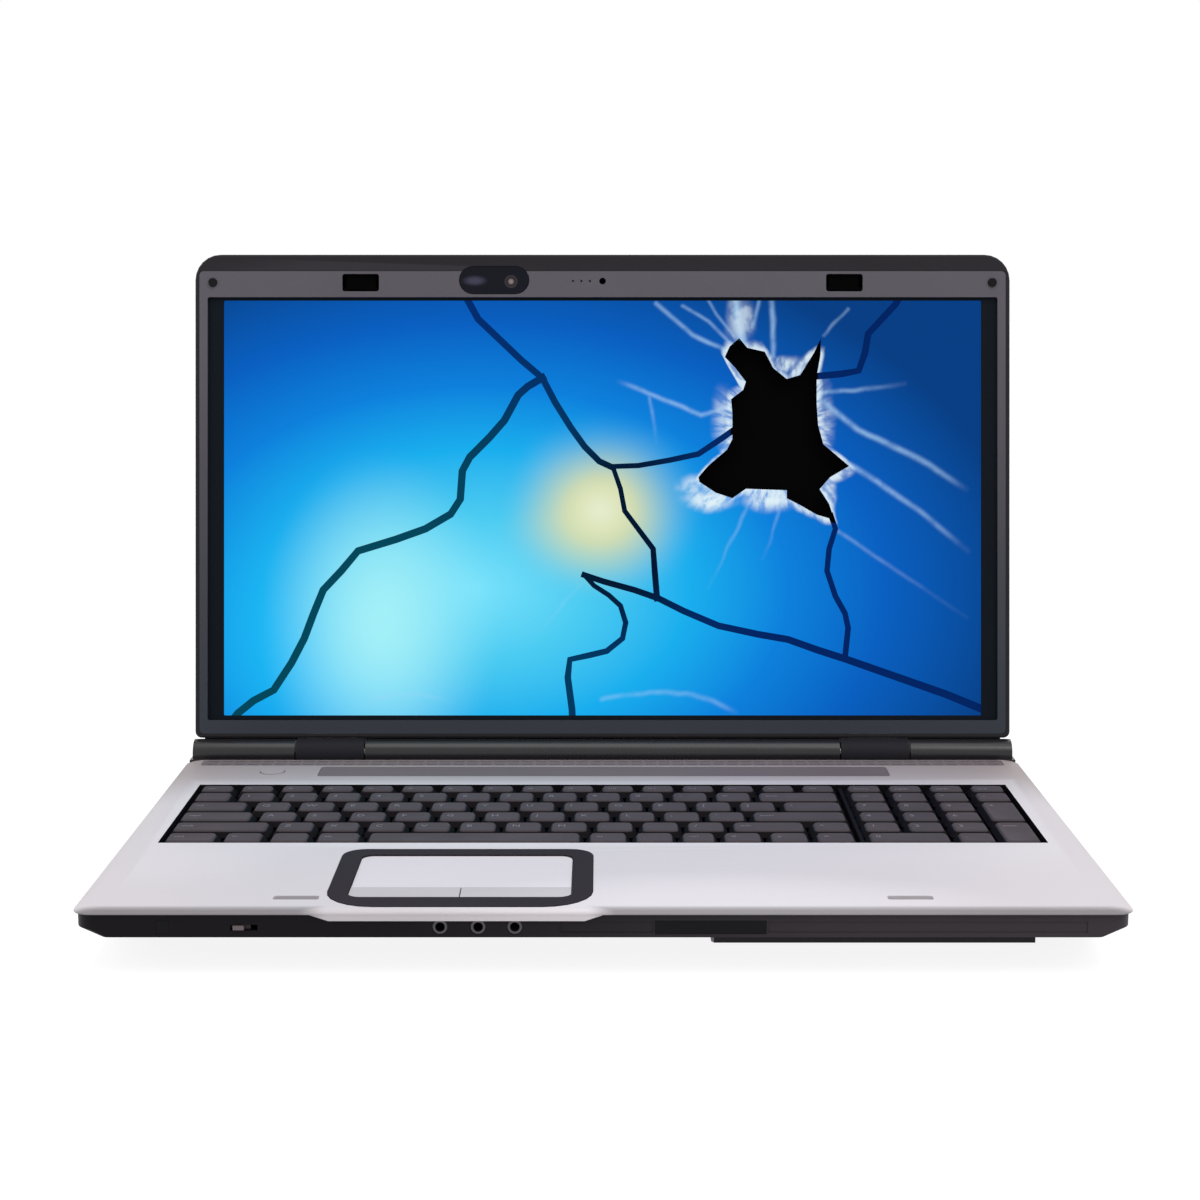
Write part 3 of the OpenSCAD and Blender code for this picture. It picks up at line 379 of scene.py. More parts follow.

# %% [markdown]
# ### Silver paint
#
# The deck is plastic under silver paint: a fine sparkle of flakes and very faint brushed
# lines from left to right. Real flakes are too small to model, so a high noise changes
# roughness and tone a little, and stretched noise gives the lines. Light is painted in too:
# painted shade towards the hinge, a painted highlight where the right hand rests, and
# painted shade along its front rim, but not on the lip that dips below the touchpad.

# %% Silver paint
deck_front = min(vert.co.y for vert in frame["nodes"]["top_cover"].data.vertices)
ring_places = [vert.co.x for vert in frame["nodes"]["touchpad_surround"].data.vertices]
ring_middle = (min(ring_places) + max(ring_places)) / 2
ring_half = (max(ring_places) - min(ring_places)) / 2
# where the painted highlight on the palm rest lies, and how far it reaches
highlight_at = (45 * mm, -140 * mm)
highlight_reach = (118.3 * mm, 50 * mm)


def silver_paint(name, colour, roughness, lines=0.5):
    """Silver paint on plastic; `lines` is how much its brushing shows."""
    made = Finish(name, Specular_IOR_Level=0.15)
    slow = made.noise(9.0, 3.0)
    flakes = made.noise(2600.0, 1.0)
    brushed = made.noise(1.0, 3.0, made.stretched(30.0, 900.0, 900.0))
    sparkle = 0.35 * slow + 0.25 * flakes + (0.4 * lines) * brushed
    x, y = made.along("X"), made.along("Y")

    # painted shade: the paint darkens towards the hinge, where the lid shades the deck
    lid_shaded_colour = tuple(c * share for c, share in zip(colour, (0.43, 0.37, 0.34))) + (1,)
    tone = made.mix(y.ramp(0.0, 75 * mm) * 0.75, colour, lid_shaded_colour)

    # painted highlight: a pale patch where the right hand rests
    sideways = (x - highlight_at[0]) / highlight_reach[0]
    inwards = (y - highlight_at[1]) / highlight_reach[1]
    spot = (sideways * sideways + inwards * inwards).ramp(1.0, 0.0)
    tone = made.mix(spot * 0.6, tone, tuple(min(1.0, 1.3 * c) for c in colour[:3]) + (1,))

    # painted shade along the front rim, but not on the lip below the touchpad
    beside = x.maths("ABSOLUTE", x - ring_middle).ramp(ring_half - 4 * mm, ring_half + 8 * mm)
    back = (y - deck_front).ramp(0.0, 6 * mm)
    tone = made.shade(tone, 0.36, 1.0, back.maths("MAXIMUM", back, 1.0 - 0.92 * beside))

    made.put(Base_Color=made.mix(made.edge_wear(0.55, 0.64) * 0.3,
                                 made.shade(tone, 0.9, 1.09, sparkle),
                                 paint(232, 230, 234)),
             Roughness=roughness + 0.12 * (slow - 0.5) + 0.1 * (flakes - 0.5),
             Normal=made.bumped(0.6 * brushed + 0.4 * flakes, 0.02 * mm))
    return made


silver = silver_paint("silver_plastic", paint(216, 210, 214), 0.55)
pad_silver = silver_paint("pad_silver", paint(222, 216, 221), 0.6, lines=0.3)
button_silver = silver_paint("button_silver", paint(196, 191, 194), 0.6, lines=0.3)
print("silver paints made")

# %% [markdown]
# ### Strip, grille and windows
#
# Behind the keyboard lie a grey touch strip and a perforated bar. Small windows in the
# front edge are smoked plastic, nearly black and very smooth.

# %% Strip, grille and windows
strip_grey = moulded("grey_strip", paint(116, 106, 108), 0.5, depth=0.01 * mm, wear=0.0,
                     level=0.06)
grille_paint = moulded("grille_paint", paint(122, 113, 116), 0.6, wear=0.0, level=0.06)
window = Finish("clear_window", Base_Color=paint(14, 12, 18), Specular_IOR_Level=0.1)
window.put(Roughness=0.08 + 0.1 * window.noise(40.0, 4.0))
print("strip, grille and window finishes made")

# %% [markdown]
# ### Metals, boards and sheets
#
# Inside are zinc-plated steel, copper, green boards and pale plastic sheets. They show only
# through vents, sockets, the open disc tray and the hole, but a finish that reads right
# costs little: brushed lines for steel, traces and speckle for boards.

# %% Metals
def metal(name, colour, roughness, grain):
    """A bare metal with lines from rolling, `grain` to the metre each way, and stains."""
    made = Finish(name, Metallic=1.0)
    lines = made.noise(1.0, 4.0, made.stretched(*grain))
    stain = made.noise(60.0, 4.0)
    made.put(Base_Color=made.shade(colour, 0.78, 1.1, 0.6 * lines + 0.4 * stain),
             Roughness=roughness + 0.18 * (lines - 0.5) + 0.15 * (stain - 0.5),
             Normal=made.bumped(lines, 0.02 * mm))
    return made


steel = metal("steel", paint(196, 197, 200), 0.34, (60.0, 1500.0, 1500.0))
dark_steel = metal("dark_steel", paint(86, 83, 87), 0.5, (60.0, 1500.0, 1500.0))
copper = metal("copper", paint(200, 130, 90), 0.36, (80.0, 1200.0, 1200.0))
print("metals", [f.material.name for f in (steel, dark_steel, copper)])

# %% Boards, sheets and the tube
board = Finish("circuit")
traces = board.node("TexBrick", {"offset": 0.5},
                    {"Vector": board.place, "Scale": 260.0, "Mortar Size": 0.06,
                     "Color1": paint(24, 84, 48), "Color2": paint(30, 96, 56),
                     "Mortar": paint(60, 122, 80)})
solder = board.noise(90.0, 5.0).ramp(0.6, 0.7)
board.put(Base_Color=board.mix(solder, traces, paint(196, 176, 110)),
          Roughness=0.4 + 0.2 * board.noise(200.0))

sheet = Finish("sheet", Roughness=0.5)
sheet.put(Base_Color=sheet.shade(paint(226, 229, 232), 0.9, 1.0, sheet.noise(20.0)))

lamp_glass = Finish("lamp", Roughness=0.2)
lamp_glass.put(Base_Color=lamp_glass.shade(paint(240, 240, 235), 0.9, 1.0,
                                           lamp_glass.noise(30.0)))
print("board, sheet and tube finishes made")

# %% [markdown]
# ## The lit picture
#
# The panel is still lit. Its picture here is only fields of blue round a pale glow, with a
# soft warm sun near the middle. A lit surface is its own light, so the picture goes to the
# shader's emission and its base colour stays black. Positions are measured on the screen,
# in millimetres from its lower middle, and worked out in the shader from the place on the
# piece, so the picture stays with the glass when the lid turns.

# %% Screen places
view_low = 17.5           # the picture's lower edge, up the lid from the hinge line


def on_screen(finish):
    """The place on the screen, across and up, in millimetres."""
    from_hinge = finish.along("Z") - hinge_at.z
    return finish.along("X") / mm, from_hinge / (mm * math.cos(lean)) - view_low


def away(finish, across, up, centre, spread):
    """Distance from a centre, with its own width and height as 1."""
    x = (across - centre[0]) / spread[0]
    y = (up - centre[1]) / spread[1]
    return (x * x + y * y) ** 0.5


def picture(finish):
    """The lit picture, as one colour wire."""
    across, up = on_screen(finish)
    field = away(finish, across, up, (-60, 60), (259, 168))
    blues = finish.node("ValToRGB", {"stops": [
        (0.0, paint(118, 225, 251)),
        (0.21, paint(72, 202, 241)),
        (0.39, paint(24, 174, 238)),
        (0.57, paint(10, 128, 220)),
        (0.75, paint(6, 95, 192)),
        (1.0, paint(5, 62, 132)),
    ]}, {"Fac": field})
    corner = away(finish, across, up, (-140, 20), (90, 80)).ramp(0.0, 1.0, 0.5, 0.0)
    glow = away(finish, across, up, (-105, 43), (60, 86)).ramp(0.0, 1.0, 0.86, 0.0)
    return finish.mix(glow, finish.mix(corner, blues, paint(30, 200, 255)),
                      paint(172, 245, 248))


print("the picture starts", view_low, "mm above the hinge line")

# %% [markdown]
# ### Hairlines
#
# Pale hairlines spread from the hole, and the glass next to it is crushed to a white frost.
# Each line is a short list of points with its width and strength. The shader measures the
# distance to every stretch, fades it out across the width, and a fine noise breaks it up.

# %% Hairlines and frosted patches
# a hairline that ends above this, in mm, runs off the screen's top and doesn't fade out
runs_off = 192
# [half width in mm, strength, points across and up the screen]
hairlines = [
    [2.2, 0.8, (60, 173), (43, 180), (25, 195.5)],
    [1.8, 0.6, (60, 177), (50, 187), (38, 194)],
    [1.6, 0.5, (62, 180), (54, 190), (50, 197)],
    [4.4, 1.0, (66, 176), (64, 186), (63, 197)],
    [2.0, 0.6, (71, 184), (75, 196)],
    [2.4, 0.8, (81, 170), (80.5, 197)],
    [1.6, 0.45, (105, 180), (116, 193)],
    [2.2, 0.6, (104, 152), (143, 157.5)],
    [2.8, 0.8, (103, 149.5), (121, 135.5), (154.5, 119), (172.5, 107)],
    [2.6, 0.75, (117, 119), (130, 111), (152, 95.5), (173, 78)],
    [2.0, 0.4, (111, 87.5), (173, 46)],
    [2.2, 0.7, (60, 146), (46.5, 142.5), (19.5, 153.5), (8, 158)],
    [1.8, 0.4, (22, 152), (25, 130)],
    [1.8, 0.35, (72, 104), (50, 60)],
    [1.6, 0.3, (86, 103), (76, 74)],
    [1.6, 0.4, (-11, 62), (-30, 38)],
    # two pale arcs that are part of the picture
    [2.4, 0.75, (0, 7), (22, 10), (40, 9.8), (52, 7), (63, 1.5)],
    [2.4, 0.5, (-110, 7.5), (-100, 9.5), (-88, 10), (-72, 7)],
]
# frosted patches: [strength, centre, half width and half height]
frosted = [
    [0.6, (66, 189), (7, 12)],
    [0.7, (44, 109), (9, 6)],
    [1.0, (52, 102), (15, 6)],
    [1.0, (79, 102), (15, 6)],
    [0.6, (58, 141), (6, 14)],
    [0.9, (88, 166), (14, 4.5)],
    [0.4, (106, 141), (5, 20)],
]
print("hairlines", len(hairlines), "frosted patches", len(frosted))

# %% [markdown]
# ### The hole's rim
#
# The frost is densest along the hole's own edge. A ring of hand-placed patches would never
# follow its points and notches, so the edge is read from the model: the diffuser sheet
# behind the glass has the same hole, a little larger. Its corners become places round the
# hole's middle, each a turn and a distance, and a colour ramp plays them back.

# %% The hole's outline
hole_middle = (82.0, 135.0)
hole_reach = 62           # no corner of the hole is further from its middle, in mm
sheet_growth = 1.04       # the sheet's hole against the glass's
ramp_places = 30          # a colour ramp holds 32 stops, and two of them close the ring
ramp_white = 70.0         # the distance in mm that white on the ramp stands for


def hole_outline():
    """(turn from 0 to 1, distance in mm) round the hole's middle, in order."""
    places = set()
    for vert in frame["nodes"]["diffuser_sheet"].data.vertices:
        x = vert.co.x * 1000 - hole_middle[0]
        y = (vert.co.z - hinge_at.z) * 1000 / math.cos(lean) - view_low - hole_middle[1]
        if math.hypot(x, y) < hole_reach:
            turn = math.atan2(y, x) / (2 * math.pi) % 1.0
            places.add((round(turn, 3), round(math.hypot(x, y) / sheet_growth, 1)))
    places = sorted(places)
    while len(places) > ramp_places:
        gaps = [b[0] - a[0] for a, b in zip(places, places[1:])]
        places.pop(gaps.index(min(gaps)) + 1)
    return places


def rim_mask(finish, across, up):
    """1 along the hole's edge, fading to 0 a few millimetres out."""
    places = hole_outline()
    first, last = places[0], places[-1]
    ring = [(0.0, last[1])] + places + [(1.0, first[1])]
    stops = [(turn, (r / ramp_white, r / ramp_white, r / ramp_white, 1)) for turn, r in ring]
    x, y = across - hole_middle[0], up - hole_middle[1]
    turn = x.maths("ARCTAN2", y, x) / (2 * math.pi)
    turn = turn.maths("WRAP", turn, 1.0, 0.0)
    edge = finish.node("ValToRGB", {"stops": stops}, {"Fac": turn}) * ramp_white
    out = (x * x + y * y) ** 0.5 - edge
    return (out + 6.0 * (finish.noise(70.0) - 0.5)).ramp(5.0, 0.5)


print("the hole's outline has", len(hole_outline()), "places")

# %% Hairlines and frost in the shader
def stretch_mask(finish, spot, first, last, width, fades):
    """1 on the line between two points, 0 past its width; one that fades ends faint."""
    start = Vector((*first, 0))
    length = (Vector((*last, 0)) - start).length
    heading = (Vector((*last, 0)) - start) / length
    offset = finish.node("VectorMath", {"operation": "SUBTRACT"}, {0: spot, 1: start})
    way = finish.node("VectorMath", {"operation": "DOT_PRODUCT"}, {0: offset, 1: heading},
                      out="Value")
    way = way.maths("MINIMUM", way.maths("MAXIMUM", way, 0.0), length)
    near = finish.node("VectorMath", {"operation": "SCALE"}, {0: heading, "Scale": way})
    gap = finish.node("VectorMath", {"operation": "DISTANCE"}, {0: offset, 1: near}, out="Value")
    line = gap.ramp(width, 0.0) ** 1.6
    return line * way.ramp(0.3 * length, length, 1.0, 0.15) if fades else line


def damage_masks(finish):
    """The faint hairlines and the white frost, each from 0 to 1."""
    across, up = on_screen(finish)
    wander = finish.noise(45.0, 2.0) - 0.5
    spot = finish.node("CombineXYZ", None, {0: across + 4.0 * wander, 1: up - 4.0 * wander})
    lines = None
    for width, strength, *points in hairlines:
        for first, last in zip(points, points[1:]):
            fades = last == points[-1] and last[1] < runs_off
            one = stretch_mask(finish, spot, first, last, width, fades) * strength
            lines = one if lines is None else lines.maths("MAXIMUM", lines, one)
    out = away(finish, across, up, hole_middle, (1.0, 1.0))
    fading = out.ramp(40.0, 115.0, 1.0, 0.5)
    broken = finish.noise(130.0, 3.0).ramp(0.3, 0.6, 0.55, 1.0)
    # crushed glass lies in splinters that point away from the hole
    heading = finish.node("CombineXYZ", None, {0: (across - hole_middle[0]) / out,
                                               1: (up - hole_middle[1]) / out, 2: out * 0.012})
    streaks = finish.noise(9.0, 3.0, heading).ramp(0.36, 0.58, 0.3, 1.0)
    frost = rim_mask(finish, across, up) * 0.9
    for strength, centre, size in frosted:
        patch = away(finish, across, up, centre, size)
        one = (patch + 1.2 * wander).ramp(1.2, 0.2) * strength
        frost = frost.maths("MAXIMUM", frost, one)
    return 0.7 * lines * fading * broken, frost * streaks


print("stretches of hairline", sum(len(line) - 3 for line in hairlines))

# %% [markdown]
# ### The glass and what shows through it
#
# The lit face carries the picture, then the warm sun, then the damage on top. The broken
# edges of each shard show the same picture, dimmer. Behind the cracks lies the dark layer
# that still glows a faint blue, except round the sun, where it is nearly black.

# %% The glass and the dark layers behind it
lit = Finish("screen", Base_Color=(0, 0, 0, 1), Specular_IOR_Level=0.015)
across, up = on_screen(lit)
sun = away(lit, across, up, (-1, 97), (54, 50)) + 0.25 * (lit.noise(16.0, 1.0) - 0.5)
warm = lit.node("ValToRGB", {"stops": [
    (0.0, paint(238, 240, 200)),
    (0.3, paint(226, 226, 160)),
    (0.55, paint(190, 214, 176)),
    (0.9, paint(100, 196, 232)),
]}, {"Fac": sun})
with_sun = lit.mix(sun.ramp(1.0, 0.1, 0.0, 0.9), picture(lit), warm)
hair, frost = damage_masks(lit)
with_hair = lit.mix(hair, with_sun, paint(165, 212, 250))
with_damage = lit.mix(frost, with_hair, paint(222, 240, 248))
lit.put(Emission_Color=with_damage, Emission_Strength=1.0,
        Roughness=0.3 + 0.1 * lit.noise(30.0))

glass_edge = Finish("glass_edge", Base_Color=paint(6, 40, 70), Specular_IOR_Level=0.4,
                    Emission_Strength=0.12)
dim_picture = glass_edge.shade(picture(glass_edge), 0.6, 1.0, glass_edge.noise(300.0))
glass_edge.put(Emission_Color=dim_picture, Roughness=0.25 + 0.2 * glass_edge.noise(200.0))

dead_layer = Finish("dark_layer", Base_Color=(0, 0, 0, 1), Specular_IOR_Level=0.02,
                    Emission_Strength=1.0)
across, up = on_screen(dead_layer)
low_left = dead_layer.mix(up.ramp(110.0, 190.0), paint(2, 70, 90), paint(1, 46, 112))
leak = dead_layer.mix(across.ramp(-120.0, 90.0), low_left, paint(1, 35, 98))
near = away(dead_layer, across, up, (10, 88), (52, 56)).ramp(0.4, 1.1)
dead_layer.put(Emission_Color=dead_layer.shade(leak, 0.25, 1.0, near),
               Roughness=0.6 + 0.2 * dead_layer.noise(50.0))
print("screen finishes", [f.material.name for f in (lit, glass_edge, dead_layer)])

# %% [markdown]
# ### Webcam window
#
# The webcam sits behind a smoked window, and what shows is the round lens with a spot of
# light in it, and beside it a faint reflection. Both are rings and ovals of colour.

# %% Webcam window
webcam_glass = Finish("webcam_glass", Specular_IOR_Level=0.08)
across, up = on_screen(webcam_glass)
lens = away(webcam_glass, across, up, (-43.3, 205.6), (3.4, 3.4))
rings = webcam_glass.node("ValToRGB", {"stops": [
    (0.0, paint(150, 140, 138)),
    (0.3, paint(118, 108, 109)),
    (0.5, paint(30, 27, 32)),
    (0.75, paint(62, 56, 60)),
    (1.0, paint(20, 20, 30)),
]}, {"Fac": lens})
gleam = away(webcam_glass, across, up, (-60.5, 206.0), (7.0, 3.0)).ramp(1.0, 0.2)
webcam_glass.put(Base_Color=webcam_glass.mix(gleam, rings, paint(66, 66, 86)),
                 Roughness=0.12 + 0.1 * webcam_glass.noise(60.0))
print("webcam window drawn")

# %% [markdown]
# ## From loose triangles to soft shells
#
# The construction model arrives as loose triangles with knife-sharp edges. No moulded part
# has such edges: the mould rounds them, and that thin line of light along each edge is what
# the eye reads as real. So each shell is copied, its triangles are joined back into whole
# faces, and its sharp edges get a small bevel.

# %% Joining a part's triangles and finding its solids


def joined(node):
    """A bmesh of a part with its loose triangles joined into whole faces."""
    bm = bmesh.new()
    bm.from_mesh(frame["nodes"][node].data)
    bmesh.ops.remove_doubles(bm, verts=bm.verts, dist=0.000001)
    bmesh.ops.dissolve_limit(bm, angle_limit=0.02, verts=bm.verts, edges=bm.edges)
    return bm


def islands(node):
    """The boxes of a part's separate solids, from left to right and back to front."""
    bm = joined(node)
    left = set(bm.verts)
    boxes = []
    while left:
        group, reached = set(), [left.pop()]
        while reached:
            vert = reached.pop()
            group.add(vert)
            for edge in vert.link_edges:
                other = edge.other_vert(vert)
                if other in left:
                    left.discard(other)
                    reached.append(other)
        low = Vector([min(v.co[i] for v in group) for i in range(3)])
        high = Vector([max(v.co[i] for v in group) for i in range(3)])
        boxes.append((low, high))
    bm.free()
    return sorted(boxes, key=lambda b: (round(-b[1].y, 4), b[0].x))


print("the number pad has", len(islands("number_pad_keys")), "keys")

# %% The field of keys
key_rows = ["function_keys", "number_row_keys", "upper_letter_keys", "home_row_keys",
            "lower_letter_keys", "modifier_keys", "space_bar", "number_pad_keys"]


def key_field(margin):
    """The box round all the keys, with a margin to each side."""
    boxes = [box for node in key_rows for box in islands(node)]
    low = Vector([min(box[0][i] for box in boxes) - margin for i in range(3)])
    high = Vector([max(box[1][i] for box in boxes) + margin for i in range(3)])
    return low, high


well_margin = 1.2 * mm    # enough to take in the walls of the well that the keys stand in
well = key_field(well_margin)
print("the keys' well lies within", round((well[1].x - well[0].x) / mm, 1), "mm")

# %% Making pieces


def new_piece(name, bm, finishes, body, smooth=32):
    """Turns a bmesh into a piece that rides on a body."""
    data = bpy.data.meshes.new(name)
    bm.to_mesh(data)
    bm.free()
    for finish in finishes:
        data.materials.append(finish.material)
    data.shade_smooth()
    data.set_sharp_from_angle(angle=math.radians(smooth))
    made = bpy.data.objects.new(name, data)
    bpy.context.scene.collection.objects.link(made)
    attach(made, body)
    return made


def even_shading(piece):
    """Lets the big flat faces decide how the light turns over a bevel."""
    even = piece.modifiers.new("even_shading", "WEIGHTED_NORMAL")
    even.keep_sharp = True


sharp = 0.5               # an edge that turns more than this, in radians, is rounded


def softened(node, finishes, width, pick=None):
    """Replaces a part by a copy with its sharp edges rounded by width, in millimetres.

    `pick` tells from a face's middle and normal which of the finishes it takes.
    """
    bm = joined(node)
    for face in bm.faces:
        face.material_index = int(pick(face.calc_center_median(), face.normal)) if pick else 0
    edges = [e for e in bm.edges if e.is_manifold and e.calc_face_angle(0.0) > sharp]
    bmesh.ops.bevel(bm, geom=edges, offset=width * mm, offset_type="OFFSET", affect="EDGES",
                    segments=2, profile=0.5, material=-1, clamp_overlap=True)
    made = new_piece("soft_" + node, bm, finishes, body_of[node])
    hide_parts(node)
    even_shading(made)
    print(node, "rounded", len(edges), "edges,", len(made.data.polygons), "faces")


# %% [markdown]
# ### Which shell gets which roundness
#
# A thick moulded shell has a radius of about half a millimetre, and a thin sheet or a lip
# only a tenth: a wider bevel would fold over itself there. Two shells take more than one
# finish. The lid is glossy outside, satin round its rim and near-black inside as painted
# shade, and the deck's silver paint stops where the well of the keys begins.

# %% Shells
def lid_side(centre, normal):
    """1 for the cover's inside, 2 for its big outer face, 0 for its rim."""
    depth = (centre - hinge_at).dot(out_of_screen)
    facing = normal.dot(out_of_screen)
    if depth < -0.6 * mm and facing > 0.5:
        return 1
    return 2 if facing < -0.9 else 0


def inside_well(centre, normal):
    """True for the walls of the well, from a little under the key tops down."""
    inside = well[0].x < centre.x < well[1].x and well[0].y < centre.y < well[1].y
    return inside and centre.z < well[1].z - 0.8 * mm


softened("lid_back_cover", [black_shell, painted_shade_black, lid_gloss], 0.5, pick=lid_side)
softened("lid_bezel", [graphite], 0.25)
softened("hinge_caps", [knuckle_grey], 0.4)
softened("hinge_cover", [barrel_gloss], 0.4)
softened("top_cover", [silver, well_black], 0.08, pick=inside_well)
softened("rear_deck", [silver], 0.08)
softened("base_bottom", [case_black], 0.3)
softened("touchpad_surround", [ring_plastic], 0.35)
softened("touchpad", [pad_silver], 0.2)
softened("left_touchpad_button", [button_silver], 0.25)
softened("right_touchpad_button", [button_silver], 0.25)
softened("power_button", [silver], 0.3)
softened("media_strip", [strip_grey], 0.2)
softened("hard_drive_cover", [black_shell], 0.4)
softened("memory_cover", [black_shell], 0.2)
softened("battery_pack", [black_shell], 0.4)
softened("optical_tray", [black_shell], 0.2)

# %% The glass with its lit front
glass = joined("screen_glass")
for face in glass.faces:
    face.material_index = 0 if face.normal.dot(out_of_screen) > 0.9 else 1
shards = new_piece("shards", glass, [lit, glass_edge], body_of["screen_glass"],
                   smooth=20)
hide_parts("screen_glass")
print("shards", len(shards.data.polygons), "faces")

# %% [markdown]
# ## Keys
#
# A key cap is a hollow shell with sloping sides, rounded corners and a top that dips a
# little, so the finger finds its middle. Each cap is modelled from a cube: its top is drawn
# in, its corners are bevelled, and the top face is inset twice and pressed down. The
# underside is inset too and pushed up, so that the cap is hollow and can sink over the
# dome below it. The construction model gives every cap's box, so the rows stay where they
# were.

# %% Caps
cap_slope = 2.3 * mm      # how far a cap's top is drawn in on each side
cap_corner = 1.5 * mm     # the reach of its bevelled corners
cap_rim = 0.55 * mm       # the level rim round the dish
dish_width = 1.0 * mm     # the dish's sloping part
dish_depth = 0.3 * mm
wall = 1.0 * mm           # at the mouth of the hollow underside
inner_slope = 1.6 * mm    # how far the hollow draws in towards its ceiling
ceiling = 1.0 * mm        # from the hollow to the top


def add_cap(bm, low, high):
    """One dished, hollow key cap that fills a box."""
    made = bmesh.ops.create_cube(bm, size=1.0)["verts"]
    middle = (low + high) / 2
    size = high - low
    bmesh.ops.scale(bm, vec=size, verts=made)
    bmesh.ops.translate(bm, vec=middle, verts=made)
    drawn_in = (1 - 2 * cap_slope / size.x, 1 - 2 * cap_slope / size.y, 1)
    bmesh.ops.scale(bm, vec=drawn_in, space=Matrix.Translation(-middle),
                    verts=[v for v in made if v.co.z > middle.z])
    sides = [e for e in {e for v in made for e in v.link_edges}
             if abs(e.verts[0].co.z - e.verts[1].co.z) > 0.5 * size.z]
    rounded = bmesh.ops.bevel(bm, geom=sides, offset=cap_corner, offset_type="OFFSET",
                              affect="EDGES", segments=2, profile=0.5, material=-1)
    faces = {f for v in rounded["verts"] for f in v.link_faces}
    top = next(f for f in faces if f.normal.z > 0.9)
    bmesh.ops.inset_individual(bm, faces=[top], thickness=cap_rim)
    bmesh.ops.inset_individual(bm, faces=[top], thickness=dish_width)
    bmesh.ops.translate(bm, vec=(0, 0, -dish_depth), verts=list(top.verts))
    mouth = next(f for f in faces if f.is_valid and f.normal.z < -0.9)
    bmesh.ops.inset_individual(bm, faces=[mouth], thickness=wall)
    bmesh.ops.inset_individual(bm, faces=[mouth], thickness=inner_slope,
                               depth=-(size.z - ceiling))


def key_row_piece(node):
    """All the caps of a row as one piece on the row's body; gives back their boxes."""
    boxes = islands(node)
    bm = bmesh.new()
    for low, high in boxes:
        add_cap(bm, low, high)
    bm.normal_update()
    made = new_piece("caps_" + node, bm, [key_plastic], body_of[node], smooth=40)
    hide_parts(node)
    print(node, len(boxes), "caps,", len(made.data.polygons), "faces")
    return boxes


key_boxes = {node: key_row_piece(node) for node in key_rows}

# %% [markdown]
# ### Lit tops and shaded sides
#
# The keys' tops are painted paler, as if lit, and the sloping sides between them are painted
# dark, as if in shade. One plastic serves for both: its colour changes with the depth below
# the tops.

# %% Painted light on the keys
keys_top = max(box[1].z for boxes in key_boxes.values() for box in boxes)
below_top = key_plastic.along("Z") - keys_top
# painted light and shade: the tops are a paler grey and the sloping sides nearly black
tops = below_top.ramp(-1.1 * mm, -0.4 * mm)
lit_top_grey = key_plastic.shade(paint(82, 76, 81), 0.75, 1.2, key_plastic.noise(40.0, 4.0))
key_plastic.put(Base_Color=key_plastic.mix(tops, paint(17, 14, 17), lit_top_grey))
print("key tops at", round(keys_top / mm, 2), "mm")

# %% [markdown]
# ### Letters
#
# The letters are printed on the caps in a pale ink, near the upper left of each. Blender's
# own font gives the outlines; each becomes a film of ink a few hundredths of a millimetre
# thick on the dished top, and rides with its row. Plain words and signs that every
# keyboard has are enough.

# %% Letters
legends = {
    "function_keys": "esc f1 f2 f3 f4 f5 f6 f7 f8 f9 f10 f11 f12 prt ins del",
    "number_row_keys": "` 1 2 3 4 5 6 7 8 9 0 - = back",
    "upper_letter_keys": "tab Q W E R T Y U I O P [ ] \\",
    "home_row_keys": "caps A S D F G H J K L ; ' enter",
    "lower_letter_keys": "shift Z X C V B N M , . / shift ^",
    "modifier_keys": "ctrl fn . alt alt . ctrl < v >",
    "number_pad_keys": "home pgup pgdn end num / * - 7 8 9 + 4 5 6 1 2 3 enter 0 .",
}
letter_size = 4.6 * mm
word_size = 2.9 * mm
letter_inset = (4.2 * mm, 6.2 * mm)     # from a cap's left and rear edges
ink_depth = 0.02 * mm
ink = Finish("key_ink", Specular_IOR_Level=0.2)
ink.put(Base_Color=ink.shade(paint(132, 129, 134), 0.75, 1.0, ink.noise(600.0)),
        Roughness=0.5 + 0.2 * ink.noise(300.0))


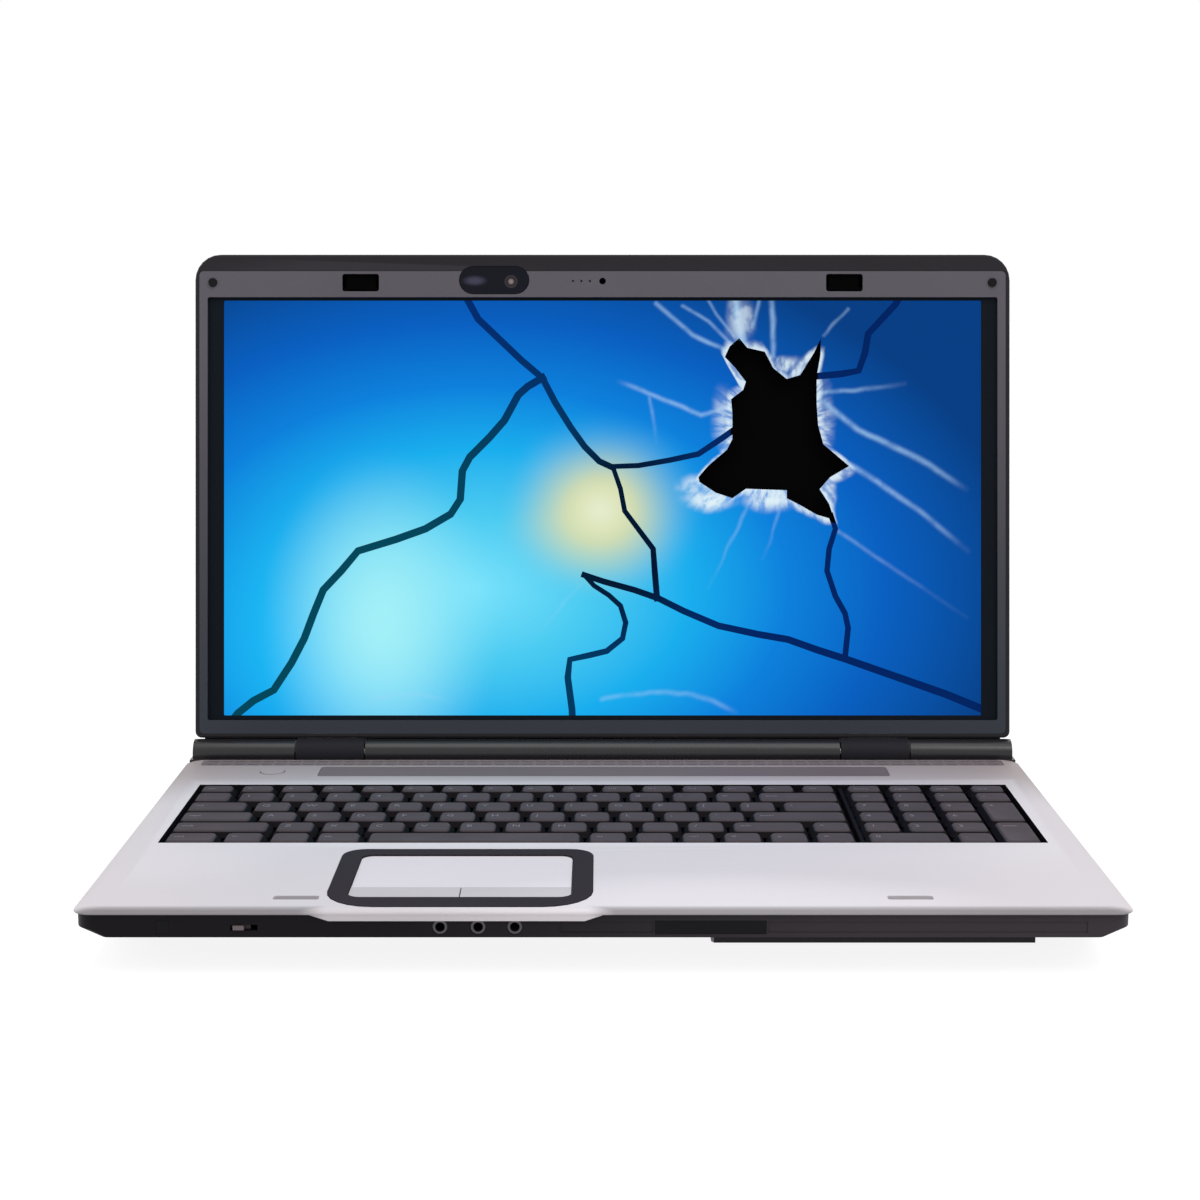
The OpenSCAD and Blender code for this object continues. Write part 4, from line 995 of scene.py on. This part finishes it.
def add_letters(bm, words, size, at):
    """Adds a film of ink in the shape of some letters, whose left end is at a place."""
    text = bpy.data.curves.new("letters", "FONT")
    text.body = words
    text.size = size
    text.extrude = ink_depth
    text.resolution_u = 2
    text.align_y = "CENTER"
    holder = bpy.data.objects.new("letters", text)
    bpy.context.scene.collection.objects.link(holder)
    bpy.context.view_layer.update()
    outline = bpy.data.meshes.new_from_object(holder)
    outline.transform(Matrix.Translation(at))
    bm.from_mesh(outline)
    bpy.data.objects.remove(holder)
    bpy.data.curves.remove(text)
    bpy.data.meshes.remove(outline)


for node, words in legends.items():
    bm = bmesh.new()
    for word, (low, high) in zip(words.split(), key_boxes[node]):
        size = letter_size if len(word) == 1 else word_size
        at = Vector((low.x + letter_inset[0], high.y - letter_inset[1],
                     high.z - dish_depth + ink_depth / 2))
        if node == "function_keys":
            at.y = (low.y + high.y) / 2
        add_letters(bm, word, size, at)
    bmesh.ops.remove_doubles(bm, verts=bm.verts, dist=0.002 * mm)
    bmesh.ops.recalc_face_normals(bm, faces=bm.faces)
    letters = new_piece("letters_" + node, bm, [ink], body_of[node])
    print(node, "letters", len(letters.data.polygons), "faces")

# %% [markdown]
# ## The remaining parts
#
# Parts whose shape is right stay as they are and only take their finish. Most get it by
# the record's slot, and a few parts get one of their own.

# %% Finishes for the parts that stay
by_slot = {
    "black_shell": black_shell, "graphite_plastic": graphite, "silver_plastic": silver,
    "grey_strip": strip_grey, "grille": grille_paint, "key_plastic": key_plastic,
    "surround": ring_plastic, "screen": lit, "clear_window": window, "sheet": sheet,
    "rubber": rubber, "steel": steel, "copper": copper, "circuit": board, "lamp": lamp_glass,
}
by_node = {
    # the latch hooks take the near-black of painted shade
    "webcam_window": webcam_glass, "lid_bumpers": rubber, "latch_hooks": painted_shade_black,
    "screen_frame": panel_black, "diffuser_sheet": dead_layer, "light_guide": dead_layer,
    "keyboard_plate": well_black, "dome_sheet": well_black, "audio_jacks": dark_steel,
    "wireless_switch": strip_grey,
}
for name, part in frame["nodes"].items():
    finish = by_node.get(name, by_slot[slot_of[name]])
    part.data.materials.clear()
    part.data.materials.append(finish.material)
print("finishes given to", len(frame["nodes"]), "parts")
